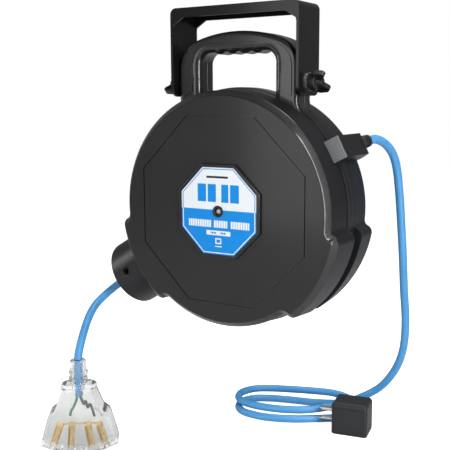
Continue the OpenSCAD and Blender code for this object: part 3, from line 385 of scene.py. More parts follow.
def drum_outline():
    """The drum with its two lobes, as points with outward directions.

    Each end of a lobe is an S of two arcs that touch, a hollow one and a rounded one, and
    the gap is the angle between their middles.
    """
    both = LOBE_FILLET + LOBE_ROUND
    near, far = LOBE_R - LOBE_ROUND, CASE_R + LOBE_FILLET
    gap = math.degrees(math.acos((near ** 2 + far ** 2 - both ** 2) / (2 * near * far)))

    def swept(middle, radius, start, end, steps):
        return arc(middle, radius, start, end + 360 * round((start - end) / 360), steps)

    line = []
    for end, turn in ((LOBE_TOP, 1), (LOBE_FOOT, -1)):
        foot = end + turn * (LOBE_SPREAD + gap * LOBE_FILLET / both)
        top = foot - turn * gap
        hollow, middle = polar(far, foot), polar(near, top)
        way = math.degrees(math.atan2(middle.y - hollow.y, middle.x - hollow.x))
        bend = [(p, -w) for p, w in swept(hollow, LOBE_FILLET, foot + 180, way, 6)]
        shoulder = swept(middle, LOBE_ROUND, way + 180, top, 10)
        if turn > 0:
            line = arc((0, 0), CASE_R, 90, foot, 70)[:-1] + bend + shoulder[1:]
            lobe_from = top
        else:
            line += arc((0, 0), LOBE_R, lobe_from, top, 36)[1:-1]
            line += shoulder[::-1] + bend[-2::-1] + arc((0, 0), CASE_R, foot, -90, 40)[1:]
    return mirrored(line)


def handle_outline(inset):
    """The handle seen from the front, taken in by the inset."""
    half_w = HANDLE_W / 2 - inset
    crown_r, shoulder_r = CROWN_R - inset, SHOULDER_R - inset
    crown_z = CROWN_H - CROWN_R
    lean = math.asin((half_w - shoulder_r) / (crown_r - shoulder_r))
    shoulder_z = crown_z + (crown_r - shoulder_r) * math.cos(lean)
    lean = math.degrees(lean)
    line = arc((0, crown_z), crown_r, 90, 90 - lean, 24)
    line += arc((half_w - shoulder_r, shoulder_z), shoulder_r, 90 - lean, 0, 16)[1:]
    line += [(p, -w) for p, w in arc((half_w + FLARE_R, FLARE_H), FLARE_R, 180, 231, 14)]
    line.append((Vector((half_w + FLARE_FOOT[0], FLARE_FOOT[1])), Vector((1, 0))))
    return mirrored(line)


def opening_outline(grow):
    """The hand opening with its finger scallops, grown by an amount."""
    half_w, top, corner = GRIP_HALF + grow, GRIP_TOP + grow, GRIP_CORNER + grow
    sunk = SCALLOP_R - max(0.1, SCALLOP_D - 0.7 * grow)
    span = math.degrees(math.acos(sunk / SCALLOP_R))
    line = []
    for x in SCALLOP_MIDDLES:
        line += arc((x, top + sunk), SCALLOP_R, -90 - span, -90 + span, 8)
    line += arc((half_w - corner, top - corner), corner, 90, 0, 10)
    line.append((Vector((half_w, GRIP_LOW)), Vector((1, 0))))
    return mirrored(line)


def select_only(piece):
    """Leaves one piece selected and active."""
    bpy.ops.object.select_all(action="DESELECT")
    piece.select_set(True)
    bpy.context.view_layer.objects.active = piece


def in_edit(piece, *steps):
    """Runs edit-mode operators on all of a piece's mesh."""
    select_only(piece)
    bpy.ops.object.mode_set(mode="EDIT")
    for step in steps:
        bpy.ops.mesh.select_all(action="SELECT")
        step()
    bpy.ops.object.mode_set(mode="OBJECT")


def tidy(piece):
    """Merges double points, drops slivers and turns all faces outwards."""
    in_edit(piece, lambda: bpy.ops.mesh.remove_doubles(threshold=2e-6),
            lambda: bpy.ops.mesh.dissolve_degenerate(threshold=1e-7),
            lambda: bpy.ops.mesh.normals_make_consistent(inside=False))
    return piece


def ring_of_points(name, places, fill):
    """A circle whose points are moved to the places given."""
    bpy.ops.object.select_all(action="DESELECT")
    bpy.ops.mesh.primitive_circle_add(vertices=len(places), fill_type=fill)
    piece = bpy.context.object
    piece.name = piece.data.name = name
    for point, place in zip(piece.data.vertices, places):
        point.co = place
    return piece


def on_case(x, z, y):
    """A place across, up and back from the middle of the case, in millimetres."""
    return CASE_MIDDLE + MM * Vector((x, y, z))


def on_faces(piece, wanted, step):
    """Runs an edit-mode operator on the faces that are wanted."""
    mesh = piece.data
    for parts in (mesh.polygons, mesh.edges, mesh.vertices):
        parts.foreach_set("select", [False] * len(parts))
    for face in mesh.polygons:
        face.select = wanted(face)
    select_only(piece)
    bpy.ops.object.mode_set(mode="EDIT")
    bpy.ops.mesh.select_mode(type="FACE")
    step()
    bpy.ops.object.mode_set(mode="OBJECT")


# an end with more points than this becomes a fan, so that later cuts leave it even
WIDE_END = 12


def stacked(name, loops):
    """A solid from loops of as many points each, the ends closed."""
    def rough(place):
        return tuple(round(c * 1e7) for c in place)

    piece = ring_of_points(name, loops[0], "NGON")
    mesh = piece.data
    for loop_from, loop_to in zip(loops, loops[1:]):
        newest = len(mesh.vertices) - len(loop_from)
        on_faces(piece, lambda face: min(face.vertices) >= newest,
                 bpy.ops.mesh.extrude_region_move)
        newest = len(mesh.vertices) - len(loop_from)
        order = {rough(place): k for k, place in enumerate(loop_from)}
        for point in mesh.vertices[newest:]:
            near = order.get(rough(point.co))
            if near is None:
                near = min(range(len(loop_from)), key=lambda k: (loop_from[k] - point.co).length)
            point.co = loop_to[near]
    on_faces(piece, lambda face: len(face.vertices) > WIDE_END, bpy.ops.mesh.poke)
    return tidy(piece)


def plate(name, outline, y_from, y_to):
    """A flat outline made solid between two depths."""
    return stacked(name, [[on_case(p.x, p.y, y) for p, _ in outline] for y in (y_from, y_to)])


def lathe(name, profile, middle=CASE_MIDDLE, axis=(0, 1, 0), steps=192):
    """A closed profile of (radius, distance along the axis), spun round the axis."""
    axis = Vector(axis).normalized()
    side = axis.orthogonal().normalized()
    places = [Vector(middle) + MM * (r * side + a * axis) for r, a in profile]
    piece = ring_of_points(name, places, "NOTHING")
    in_edit(piece, lambda: bpy.ops.mesh.spin(
        steps=steps, angle=2 * math.pi, center=tuple(middle), axis=tuple(axis)))
    return tidy(piece)


def joined(piece, other, operation="UNION"):
    """Adds the other solid, cuts it away or keeps what both share, and drops it."""
    select_only(piece)
    both = piece.modifiers.new("solid", "BOOLEAN")
    both.object = other
    both.operation = operation
    both.solver = "MANIFOLD"
    bpy.ops.object.modifier_apply(modifier="solid")
    bpy.data.objects.remove(other)
    return piece


def rounded(piece, width, segments=3, angle=40):
    """Rounds every edge sharper than the angle, by a width in millimetres."""
    select_only(piece)
    edge = piece.modifiers.new("edge", "BEVEL")
    edge.width = width * MM
    edge.segments = segments
    edge.limit_method = "ANGLE"
    edge.angle_limit = math.radians(angle)
    bpy.ops.object.modifier_apply(modifier="edge")
    return piece


def smooth(piece, angle=30):
    """Shades smooth across edges that are flatter than the angle."""
    select_only(piece)
    bpy.ops.object.shade_smooth_by_angle(angle=math.radians(angle))
    even = piece.modifiers.new("even", "WEIGHTED_NORMAL")
    even.keep_sharp = True
    bpy.ops.object.modifier_apply(modifier="even")
    return piece


def placed(piece, body, slot, material, *nodes):
    """Fixes a finished piece to its body, in the place of the CAD nodes given."""
    piece.data.materials.clear()
    piece.data.materials.append(material)
    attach(piece, body)
    if nodes:
        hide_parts(*nodes)
    return piece


# scales of the fine spark-eroded grain of a mould, and of the handling marks
GRAIN, MARKS = 1600, 24


def grained_plastic(name, dark, light, rough, grain):
    """Moulded plastic with a fine grain of a given depth and faint handling marks."""
    finish = Finish(name)
    fine = finish.noise(GRAIN, 2)
    broad = finish.noise(MARKS, 3)
    return finish.surface({
        "Base Color": finish.blend(broad, tone(*dark), tone(*light)),
        "Roughness": rough + 0.10 * broad + 0.05 * fine,
        "Normal": finish.bumps(fine, grain),
        "Specular IOR Level": 0.35,
    }).material


# depths from the joint, in metres, at which the rim's polish starts, is full and ends, and
# at which the face starts
POLISH_FROM, POLISH_FULL, POLISH_TO, FACE_FROM = 0.0405, 0.0435, 0.04835, 0.0477
# the handle's polish fades out between these heights, lower down the further it is out
HANDLE_DULL, HANDLE_BRIGHT, HANDLE_SLOPE, HANDLE_TO = -0.083, -0.078, 0.35, 0.020


def case_plastic():
    """Black plastic, grained on the faces and polished round the rim and the handle."""
    finish = Finish("case_black")
    fine = finish.noise(GRAIN, 2)
    broad = finish.noise(MARKS, 3)

    def ramp(value, low, high):
        return finish.node("MapRange", {"interpolation_type": "SMOOTHSTEP"},
                           {"Value": value, "From Min": low, "From Max": high})

    wide, depth, height = finish.axes()
    wide, depth = abs(wide), abs(depth)
    rim = ramp(depth, POLISH_FROM, POLISH_FULL) * (depth < POLISH_TO)
    handle = ramp(height + HANDLE_SLOPE * wide, HANDLE_DULL, HANDLE_BRIGHT) * (depth < HANDLE_TO)
    polished = rim.maths("MAXIMUM", handle)
    return finish.surface({
        "Base Color": finish.blend(broad, tone(19, 19, 21), tone(27, 27, 29)),
        "Roughness": 0.33 + 0.10 * broad + 0.05 * fine - 0.07 * polished,
        "Normal": finish.bumps(fine, 0.00008), "Specular IOR Level": 0.22, "Coat Roughness": 0.14,
        "Coat Weight": (0.8 * polished).maths("MAXIMUM", 0.36 * (depth > FACE_FROM)),
    }).material


case_black = case_plastic()


def octagon(across, y):
    """Corners of an octagon with flats at the top and sides, at a depth."""
    radius = across / 2 / math.cos(math.radians(22.5))
    return [on_case(*polar(radius, 22.5 + 45 * k), y) for k in range(8)]


def drilled(piece, name, radius, start, end, middle=CASE_MIDDLE, axis=(0, 1, 0), steps=48):
    """Cuts a round hole between two distances along an axis."""
    hole = lathe(name, [(0, start), (radius, start), (radius, end), (0, end)], middle, axis, steps)
    return joined(piece, hole, "DIFFERENCE")


def rounding(radius, face):
    """A quarter round up to a face in steps of 15 degrees, as (taken in, depth)."""
    turns = [math.radians(15 * k) for k in range(7)]
    return [(radius * (1 - math.cos(a)), face - radius * (1 - math.sin(a))) for a in turns]


# the case's side and its hollow: how far each is taken in, at a distance from the joint
SKIN = [(0.3, 9.0), (0, 9.4), (1.9, 39.0), (2.02, 41.3), (2.2, 42.1), (2.7, 43.0), (6.5, 47.2),
        (7.0, 47.75), (7.45, 48.15), (7.85, 48.4), (8.2, HALF_D)]
HOLLOW = [(3.3, 12.7), (4.9, 39), (5.2, 41.5), (6.7, 44.3), (9.2, 45.4)]


def case_half(name, side):
    """The half of the case in front, side -1, or at the rear, side 1."""
    outline = drum_outline()

    def drum(label, loops):
        return stacked(label, [[on_case(*(p - inset * way), side * y) for p, way in outline]
                               for inset, y in loops])

    case = drum(name, SKIN)
    joined(case, lathe("belt", [(0, 0), (BELT_R - 0.25, 0), (BELT_R, side * 0.25),
                                (BELT_R, side * 9.2), (BELT_R - 0.3, side * BELT_HALF),
                                (0, side * BELT_HALF)]))
    # handle: rounded over at its rim and round the opening, with a raised panel
    grip_face = HANDLE_D / 2 - PANEL_D
    rim = [(0.3, 0), (0, 0.3)] + rounding(HANDLE_ROUND, grip_face)
    handle = stacked("handle", [[on_case(p.x, p.y, side * y) for p, _ in handle_outline(inset)]
                                for inset, y in rim])
    panel = plate("panel", handle_outline(PANEL_INSET), side * (grip_face - 1),
                  side * HANDLE_D / 2)
    joined(panel, lathe("foot", [(0, 0), (PANEL_FOOT_R, 0), (PANEL_FOOT_R, side * 20),
                                 (0, side * 20)]), "DIFFERENCE")
    frame_hole = plate("frame_hole", opening_outline(GRIP_FRAME), side * 10, side * 20)
    joined(panel, frame_hole, "DIFFERENCE")
    joined(handle, rounded(panel, 0.8, 3, 60))
    edge = [(0.3, -1), (0.3, 0), (0, 0.3)] + rounding(GRIP_ROUND, grip_face + 0.05) + [(7.6, 20)]
    opening = stacked("opening", [[on_case(p.x, p.y, side * y) for p, _ in opening_outline(grow)]
                                  for grow, y in edge])
    joined(handle, opening, "DIFFERENCE")
    joined(case, handle)
    # the hollow follows the lobes only past the belt, which stays closed all round
    joined(case, drum("hollow", HOLLOW), "DIFFERENCE")
    joined(case, lathe("inside", [(0, -side), (122.3, -side), (122.3, side * 9),
                                  (120.3, side * 39), (0, side * 42)]), "DIFFERENCE")
    # groove round the face, seats of the pivot inserts, the cord's way out and screw seats
    groove = stacked("groove", [octagon(2 * GROOVE_OUT - 0.5, side * (HALF_D - GROOVE_D)),
                                octagon(2 * GROOVE_OUT, side * (HALF_D + 0.6))])
    core = stacked("core", [octagon(2 * GROOVE_IN + 0.5, side * (HALF_D - GROOVE_D - 0.2)),
                            octagon(2 * GROOVE_IN, side * (HALF_D + 1))])
    joined(case, joined(groove, core, "DIFFERENCE"), "DIFFERENCE")
    for way in (-1, 1):
        drilled(case, "seat", 6, way * 58, way * 73, PIVOT, (1, 0, 0))
    drilled(case, "way_out", 9, 100, 140, CASE_MIDDLE, OUTLET_WAY)
    if side > 0:
        for angle in BOSS_ANGLES:
            drilled(case, "screw_seat", 3.5, 42.5, 50, on_case(*polar(BOSS_R, angle), 0), steps=32)
    return smooth(tidy(case))


for half, side in (("front", -1), ("rear", 1)):
    placed(case_half(half + "_case", side), "housing", "case_black", case_black, half + "_shell")


# --- medallion and label --------------------------------------------------------------
# An octagonal plate on the face with a bevelled edge, which holds a printed label. The
# steel screw of the spool's axle sits in a black cap in its middle.
MEDALLION, LABEL = 97.5, 90.4
# the width of a screw's cross recess, as a share of its length
CROSS = 0.28
# the plate's bevel: how much narrower it is, at a depth
PLATE_STEPS = [(0, -HALF_D + 0.5), (0, -51.0), (0.5, -51.5), (1.6, -51.9), (2.4, -52.0)]


def screw_head(name, radius, low, high, middle):
    """A pan head with a cross recess, from one depth to the other."""
    way = 1 if high > low else -1
    tall = abs(high - low)
    head = lathe(name, [(0, low), (radius, low), (radius, low + way * tall * 0.45),
                        (radius * 0.86, low + way * tall * 0.8), (radius * 0.5, high), (0, high)],
                 middle, steps=48)
    for wide, deep in ((1, CROSS), (CROSS, 1)):
        slot = stacked("slot", [[Vector(middle) + MM * Vector((x * radius * 0.6 * wide, y,
                                                             z * radius * 0.6 * deep))
                                 for x, z in ((-1, -1), (1, -1), (1, 1), (-1, 1))]
                                for y in (high - way * tall * 0.4, high + way * 1)])
        joined(head, slot, "DIFFERENCE")
    return smooth(tidy(head), 40)


medallion = stacked("face_plate", [octagon(MEDALLION - less, y) for less, y in PLATE_STEPS])
recess = stacked("recess", [octagon(LABEL, -51.3), octagon(LABEL + 0.4, -53)])
joined(medallion, recess, "DIFFERENCE")
drilled(medallion, "cap_hole", 6, -53, -47)
placed(smooth(tidy(medallion)), "housing", "case_black", case_black, "medallion")

knob_black = grained_plastic("knob_black", (21, 21, 23), (28, 28, 30), 0.30, 0.00004)
cap = lathe("screw_cap", [(2.5, -48.6), (6, -48.6), (6, -52.6), (5.4, -53.0), (4.0, -53.0),
                          (3.6, -52.6), (3.6, -49.6), (2.5, -49.6)], steps=64)
placed(smooth(cap), "housing", "knob_black", knob_black, "axle_cap")


def plated_metal(name, colour, rough):
    """Metal with fine turning marks and a slightly uneven shine."""
    finish = Finish(name)
    broad = finish.noise(60, 3)
    fine = finish.noise(1560, 2)
    dim = tuple(c * 0.82 for c in colour[:3]) + (1,)
    return finish.surface({
        "Base Color": finish.blend(broad, colour, dim), "Metallic": 1.0,
        "Roughness": rough + 0.16 * broad, "Normal": finish.bumps(fine, 0.00002),
    }).material


zinc_steel = plated_metal("zinc_steel", (0.58, 0.59, 0.61, 1), 0.26)
front_screw = screw_head("front_axle_screw", 3.4, -49.5, -51.9, CASE_MIDDLE)
rear_screw = screw_head("rear_axle_screw", 4.5, 48.5, 51.5, CASE_MIDDLE)
joined(front_screw, lathe("front_shank", [(0, -50), (2.4, -50), (2.4, -32), (0, -32)], steps=32))
joined(rear_screw, lathe("rear_shank", [(0, 49), (2.4, 49), (2.4, 32), (0, 32)], steps=32))
placed(smooth(front_screw, 40), "housing", "zinc_steel", zinc_steel, "axle_screws")
placed(smooth(rear_screw, 40), "housing", "zinc_steel", zinc_steel, "axle_screws")


def printed_label():
    """Blue and white printed film with plain blocks and rules, and a thin line round it."""
    finish = Finish("label_print")
    across, _, height = finish.axes()
    across = across * (1 / MM)
    height = (height - AXIS_Z) * (1 / MM)
    wide, tall = abs(across), abs(height)
    corner = (wide + tall) * (1 / math.sqrt(2))
    reach = wide.maths("MAXIMUM", tall).maths("MAXIMUM", corner)

    def either(*shares):
        total = shares[0]
        for share in shares[1:]:
            total = total.maths("MAXIMUM", share)
        return total

    def bars(low, high, *spans):
        """Blocks side by side between two heights, each from its left to its right edge."""
        return either(*((across > left) * (across < right) * (height > low) * (height < high)
                        for left, right in spans))

    def ruled(pitch, share):
        return (across * (1 / pitch)).maths("FRACT") < share

    edge = (reach > LABEL / 2 - 2.2) * (reach < LABEL / 2 - 1.3)
    lower = height < 1.5
    dark = bars(34.2, 36.4, (-14, 12))
    blocks = bars(9.5, 28, (-25, -14.5), (-12.5, -2.5), (4, 12.5), (14.5, 25))
    gaps = 1 - ruled(2.9, 0.2)
    line = bars(-17, -9.5, (-36.5, -8.5), (-5.5, 11), (14.5, 37)) * gaps
    ribbon = bars(-25, -20.2, (-14.5, 14.5))
    dashes = bars(-23.6, -21.6, (-9.5, -2.2), (2.2, 9.5)) * gaps
    badge = bars(-34, -28, (-3.6, 3.6)) * (1 - bars(-32.8, -29.2, (-2.4, 2.4)))
    under = bars(-37.2, -36.2, (-4, 4))
    white, azure, black = tone(213, 219, 222), tone(0, 126, 204), tone(30, 34, 40)
    ground = finish.blend(lower, white, azure)
    ground = finish.blend(ruled(1.7, 0.3) * 0.10, ground, tone(60, 110, 150))
    ground = finish.blend(either(blocks, dashes), ground, azure)
    ground = finish.blend(dark, ground, black)
    ground = finish.blend(either(line, badge, under), ground, white)
    ground = finish.blend(ribbon * (1 - dashes), ground, white)
    ground = finish.blend(edge * lower, ground, white)
    ground = finish.blend(edge * (1 - lower), ground, azure)
    speck = finish.noise(700, 2)
    return finish.surface({
        "Base Color": ground, "Roughness": 0.36 + 0.1 * speck, "Specular IOR Level": 0.2,
        "Normal": finish.bumps(speck, 0.00001),
    }).material


def finished(node, material):
    """Gives a CAD node its material."""
    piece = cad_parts[node]
    if not piece.material_slots:
        piece.data.materials.append(material)
    for place in piece.material_slots:
        place.material = material


finished("label", printed_label())


# --- bracket, pads and knobs ----------------------------------------------------------
# A U of 3 mm steel, powder coated black, bent with flanged edges. The handle hangs between
# its arms on two studs with winged knobs, which pinch rubber pads to hold the tilt.
def softened(name, node, width, segments=2):
    """A copy of a CAD node's shape with its sharp edges rounded."""
    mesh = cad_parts[node].data.copy()
    piece = bpy.data.objects.new(name, mesh)
    mesh.name = name
    bpy.context.scene.collection.objects.link(piece)
    in_edit(piece, lambda: bpy.ops.mesh.remove_doubles(threshold=1e-6),
            lambda: bpy.ops.mesh.dissolve_limited(angle_limit=math.radians(0.5)))
    return smooth(rounded(piece, width, segments, 35))


# half of the wings' outline and their pocket: along the stud and out from it
WING = [(80.5, -7), (83.5, -12.2), (86, -13.2), (94.5, -12.4), (96.6, -10.6), (96.8, -8.2),
        (92.0, -3.4), (91.2, 0)]
POCKET = [(85.5, -10.8), (93.6, -10.2), (94.4, -8.6), (90.0, -4.6), (86.5, -5.4)]
WING_TURN, WING_HALF = 45, 2.8


def wing_knob(name, side):
    """A round hub with two wings that have a shallow pocket on both sides."""
    outline = WING + [(x, -t) for x, t in WING[-2::-1]]
    turn = Matrix.Rotation(math.radians(WING_TURN * side), 3, "X")

    def at(x, across, thick):
        return PIVOT + turn @ (MM * Vector((side * x, thick, across)))

    knob = stacked(name, [[at(x, t, y) for x, t in outline] for y in (-WING_HALF, WING_HALF)])
    rounded(knob, 1.0, 3, 60)
    for up in (-1, 1):
        for face in (-1, 1):
            dent = stacked("dent", [[at(x, up * t, face * y) for x, t in POCKET]
                                    for y in (1.3, 4)])
            joined(knob, dent, "DIFFERENCE")
    hub = lathe("hub", [(0, side * 78.3), (8.2, side * 78.3), (8.75, side * 78.9),
                        (8.75, side * 85.4), (8.1, side * 86.2), (5.6, side * 87.0),
                        (4.6, side * 91.6), (3.6, side * 92.4), (0, side * 92.6)],
                PIVOT, (1, 0, 0), 64)
    return smooth(tidy(joined(knob, hub)), 35)


def powder_coat():
    """Black powder coat with a faint orange peel under a thin gloss."""
    finish = Finish("steel_black")
    peel = finish.noise(420, 2)
    broad = finish.noise(20, 2)
    return finish.surface({
        "Base Color": finish.blend(broad, tone(12, 12, 13), tone(17, 17, 18)),
        "Roughness": 0.26 + 0.08 * broad, "Normal": finish.bumps(peel, 0.00005),
        "Specular IOR Level": 0.12, "Coat Weight": 0.4, "Coat Roughness": 0.14,
    }).material


steel_black = powder_coat()
rubber_black = grained_plastic("rubber_black", (26, 26, 27), (33, 33, 34), 0.52, 0.00005)


def folded_bracket():
    """The bracket with its edges rounded and its two flanges trimmed a little."""
    bracket = softened("ceiling_bracket", "bracket", 0.9, 3)
    under = [(-73.3, -17.7), (-60.9, -9.9), (60.9, -9.9), (73.3, -17.7), (73.3, -22), (-73.3, -22)]
    joined(bracket, stacked("trim", [[MM * Vector((x, y, z)) for x, z in under]
                                     for y in (-30, 30)]), "DIFFERENCE")
    return smooth(tidy(bracket), 35)


placed(folded_bracket(), "bracket", "steel_black", steel_black, "bracket")
for way, side in (("left", -1), ("right", 1)):
    placed(wing_knob(way + "_wing_knob", side), way + "_knob", "knob_black", knob_black,
           way + "_knob")
    finished(way + "_stud", zinc_steel)
finished("knob_washers", zinc_steel)
finished("friction_pads", rubber_black)
brass = plated_metal("brass", (0.80, 0.56, 0.20, 1), 0.2)
finished("pivot_inserts", brass)


# --- cord stop and outlet -------------------------------------------------------------
# Two halves of smooth black plastic, screwed together round the cord from the rear, which
# stop it at the case's rubber grommet.
stop_black = grained_plastic("stop_black", (24, 23, 27), (31, 30, 34), 0.28, 0.00003)
STOP_R = 38
STOP_SCREW = 20
STOP_MIDDLE = (STOP_IN + STOP_OUT) / 2 / MM
ACROSS_STOP = OUTLET_WAY.cross(Vector((0, 1, 0)))


def in_stop(along, back, wide):
    """A place along the cord from the case's middle, back and across."""
    return (CASE_MIDDLE + along * MM * OUTLET_WAY + MM * Vector((0, back, 0))
            + wide * MM * ACROSS_STOP)


def stop_half(name, side):
    """Half of the round stop, with a ringed hole in front or two screw ways at the rear."""
    inner, outer = STOP_IN / MM, STOP_OUT / MM
    half = lathe(name, [(4.7, inner), (STOP_R - 0.8, inner), (STOP_R, inner + 0.8),
                        (STOP_R, outer - 2.6), (STOP_R - 0.35, outer - 1.2),
                        (STOP_R - 1.2, outer - 0.35), (STOP_R - 2.6, outer),
                        (4.7, outer)], CASE_MIDDLE, OUTLET_WAY, 128)
    box = [(-60, 0.12), (60, 0.12), (60, 60), (-60, 60)]
    keep = stacked("keep", [[in_stop(along, side * y, x) for x, y in box]
                            for along in (130, 182)])
    joined(half, keep, "INTERSECT")
    if side < 0:
        middle = in_stop(STOP_MIDDLE, 0, 0)
        drilled(half, "dimple", 4.6, -STOP_R + 8, -STOP_R - 3, middle, steps=40)
        ring = lathe("ring", [(4.2, -STOP_R + 2.4), (6.6, -STOP_R + 2.4), (6.6, -STOP_R - 0.1),
                              (6.0, -STOP_R - 0.6), (5.0, -STOP_R - 0.6), (4.2, -STOP_R)],
                     middle, steps=40)
        joined(half, ring)
    else:
        for wide in (-STOP_SCREW, STOP_SCREW):
            drilled(half, "screw_way", 4, 16, 45, in_stop(STOP_MIDDLE, 0, wide), steps=40)
    return smooth(tidy(half))


for half, side in (("front", -1), ("rear", 1)):
    placed(stop_half("stop_" + half, side), "housing", "stop_black", stop_black,
           f"stop_{half}_half")
stop_screws = None
for wide in (-STOP_SCREW, STOP_SCREW):
    middle = in_stop(STOP_MIDDLE, 0, wide)
    screw = screw_head("stop_screw", 3.7, 16.2, 19.2, middle)
    joined(screw, lathe("shank", [(0, 16.6), (2, 16.6), (2, -13), (0, -13)], middle, steps=24))
    stop_screws = joined(stop_screws, screw) if stop_screws else screw
placed(smooth(stop_screws, 40), "housing", "zinc_steel", zinc_steel, "stop_screws")
finished("outlet_grommet", rubber_black)


# --- three-way connector --------------------------------------------------------------
# A clear moulded body with a ringed neck, so that its brass contacts and the three wires
# show. Its outlets fan out along the lower edge.
TAP_TOP = Vector((-0.161, -0.094, -0.384))
TAP_TURN = Matrix.Rotation(math.radians(36), 3, "Z")
# each contact: how far across, its lean in degrees, its top, its low end and its width
CONTACTS = [(-26, 20, -74.5, -98, 8), (-10, 4, -73.5, -101.5, 7), (10.5, -9, -73.5, -101.5, 7),
            (24.5, -17, -74, -98, 7)]
# the collar's edge: how far it is taken in, at a height
COLLAR = [(0.9, -31.2), (0.2, -30.6), (0, -29.8), (0, -27.6), (0.3, -26.8), (1.2, -26.2)]
COLLAR_HALF, COLLAR_R = 8.5, 11.2
# the ringed neck: radius and height
NECK = [(4.8, 0), (8.6, 0), (9.3, -0.7), (9.3, -9.6), (8.0, -10.6), (8.0, -12), (10.4, -12.6),
        (10.7, -13.2), (10.7, -15), (10.4, -15.6), (8.0, -16.2), (8.0, -18.2), (10.4, -18.8),
        (10.7, -19.4), (10.7, -21.2), (10.4, -21.8), (8.0, -22.4), (8.0, -24), (9.6, -25.6),
        (9.9, -27), (4.8, -27)]


def in_tap(x, y, z):
    """A place across, back and up from the top of the connector's neck."""
    return TAP_TOP + TAP_TURN @ (MM * Vector((x, y, z)))


def along_contact(x, lean, top, low):
    """Gives places from the middle of a contact, along its lean."""
    turn = Matrix.Rotation(math.radians(lean), 3, "Y")

    def at(across, back, up):
        place = turn @ Vector((across, back, up))
        return in_tap(x + place.x, place.y, (top + low) / 2 + place.z)

    return at


def clear_moulding():
    """Clear plastic with faint flow lines."""
    finish = Finish("clear_plastic")
    flow = finish.noise(90, 2)
    return finish.surface({
        "Base Color": (0.965, 0.975, 0.97, 1), "Roughness": 0.03 + 0.05 * flow,
        "Normal": finish.bumps(flow, 0.0001), "Transmission Weight": 0.96, "IOR": 1.45,
    }).material


clear_plastic = clear_moulding()


def clear_connector():
    """The fanned body, with a ringed neck and a rounded collar joined on top."""
    body = softened("clear_connector", "tap_body", 0.5, 2)
    square = ((-26, -20), (26, -20), (26, 20), (-26, 20))
    joined(body, stacked("over", [[in_tap(x, y, z) for x, y in square] for z in (-30.4, 4)]),
           "DIFFERENCE")
    loops = []
    for inset, z in COLLAR:
        ends = [arc((side * COLLAR_HALF, 0), COLLAR_R - inset, start, start + 180, 16)
                for side, start in ((1, -90), (-1, 90))]
        loops.append([in_tap(p.x, p.y, z) for p, _ in ends[0] + ends[1]])
    collar = stacked("collar", loops)
    joined(collar, lathe("bore", [(0, -32), (6.8, -32), (6.8, -28.5), (4.8, -27.5), (4.8, -25),
                                  (0, -25)], TAP_TOP, (0, 0, 1), 64), "DIFFERENCE")
    joined(collar, lathe("neck", NECK, TAP_TOP, (0, 0, 1), 96))
    joined(body, collar)
    for x, lean, top, low, wide in CONTACTS:
        at = along_contact(x, lean, top, low)
        half = wide / 2 + 0.7
        pocket = [(-half, -5.5), (half, -5.5), (half, 4), (-half, 4)]
        joined(body, stacked("cavity", [[at(a, b, z) for a, b in pocket] for z in (
            (low - top) / 2 - 1, (top - low) / 2 + 0.6)]), "DIFFERENCE")
    return smooth(tidy(body), 35)


tap_body = placed(clear_connector(), "housing", "clear_plastic", clear_plastic, "tap_body")
finished("tap_jacket", cord_blue)


def contact(name, x, lean, top, low, wide):
    """A folded spring contact: a tall strip with a curled top and two gripping leaves."""
    at = along_contact(x, lean, top, low)
    half = (top - low) / 2
    back = stacked(name, [[at(a, b, z) for a, b in ((-wide / 2, 2.2), (wide / 2, 2.2),
                                                   (wide / 2, 3.2), (-wide / 2, 3.2))]
                          for z in (-half, half)])
    curl = stacked("curl", [[at(a, b, z) for b, z in ((3.1, half - 0.1), (3.1, half - 1.1),
                                                     (-4.4, half - 2.6), (-4.8, half - 1.5))]
                            for a in (-wide / 2, wide / 2)])
    joined(back, curl)
    for side in (-1, 1):
        leaf = stacked("leaf", [[at(side * a, b, z) for a, b in (
            (wide / 2 + 0.02, 2.6), (wide / 2 - 0.9, 2.6), (wide / 2 - 1.5, -1.5),
            (wide / 2 - 0.5, -4.5), (wide / 2 + 0.4, -4.3), (wide / 2 - 0.4, -1.5))]
                                for z in (-half, half - 4)])
        joined(back, leaf)
    return rounded(back, 0.2, 2, 60)


contacts = contact("outlet_contacts", *CONTACTS[0])
for place in CONTACTS[1:]:
    joined(contacts, contact("contact", *place))
strip = stacked("strip", [[in_tap(x, y, z) for x, z in ((-24, -76.8), (23, -76.8), (23, -75.2),
                                                       (-24, -75.2))] for y in (2.4, 3.4)])
joined(contacts, strip)
contacts = placed(smooth(tidy(contacts)), "housing", "brass", brass, "tap_contacts")


def insulation(name, colour):
    """Thin smooth vinyl round one wire."""
    finish = Finish(name)
    broad = finish.noise(300, 2)
    dim = tuple(c * 0.85 for c in colour[:3]) + (1,)
    return finish.surface({
        "Base Color": finish.blend(broad, colour, dim), "Roughness": 0.32 + 0.1 * broad,
    }).material


# each wire's colour and its way from the end of the jacket
JACKET_END = -41
WIRE_D = 0.0029
wire_ways = {
    "green_wire": (tone(54, 128, 84), [(-2.6, 0, 0), (-3, 0, -5), (-6, 1, -13), (-10, 2, -20),
                                       (-11, 2.5, -25)]),
    "black_wire": (tone(28, 29, 32), [(0.8, -2.4, 1), (2.6, -4.4, -2.5), (5.6, -5, -9),
                                      (7.6, -5, -5.5), (9.8, -5, -13), (12.4, -4.4, -9.5),
                                      (15, -3.4, -17), (16.5, -1, -25)]),
    "white_wire": (tone(222, 222, 218), [(2.6, -1.4, 0), (3.4, -2, -5), (9, -3, -10),
                                         (17, -3.5, -14), (23, -3.5, -19), (25, -3.5, -24)]),
}
for name, (colour, way) in wire_ways.items():
    points = smooth_route([in_tap(x, y, z + JACKET_END) for x, y, z in way], 6)
    wire = run_of_cord(name, points, WIRE_D)
    placed(wire, "housing", "wire_white", insulation(name, colour), "tap_wires")
tuple(smooth_route(reel_route, 6)[0])


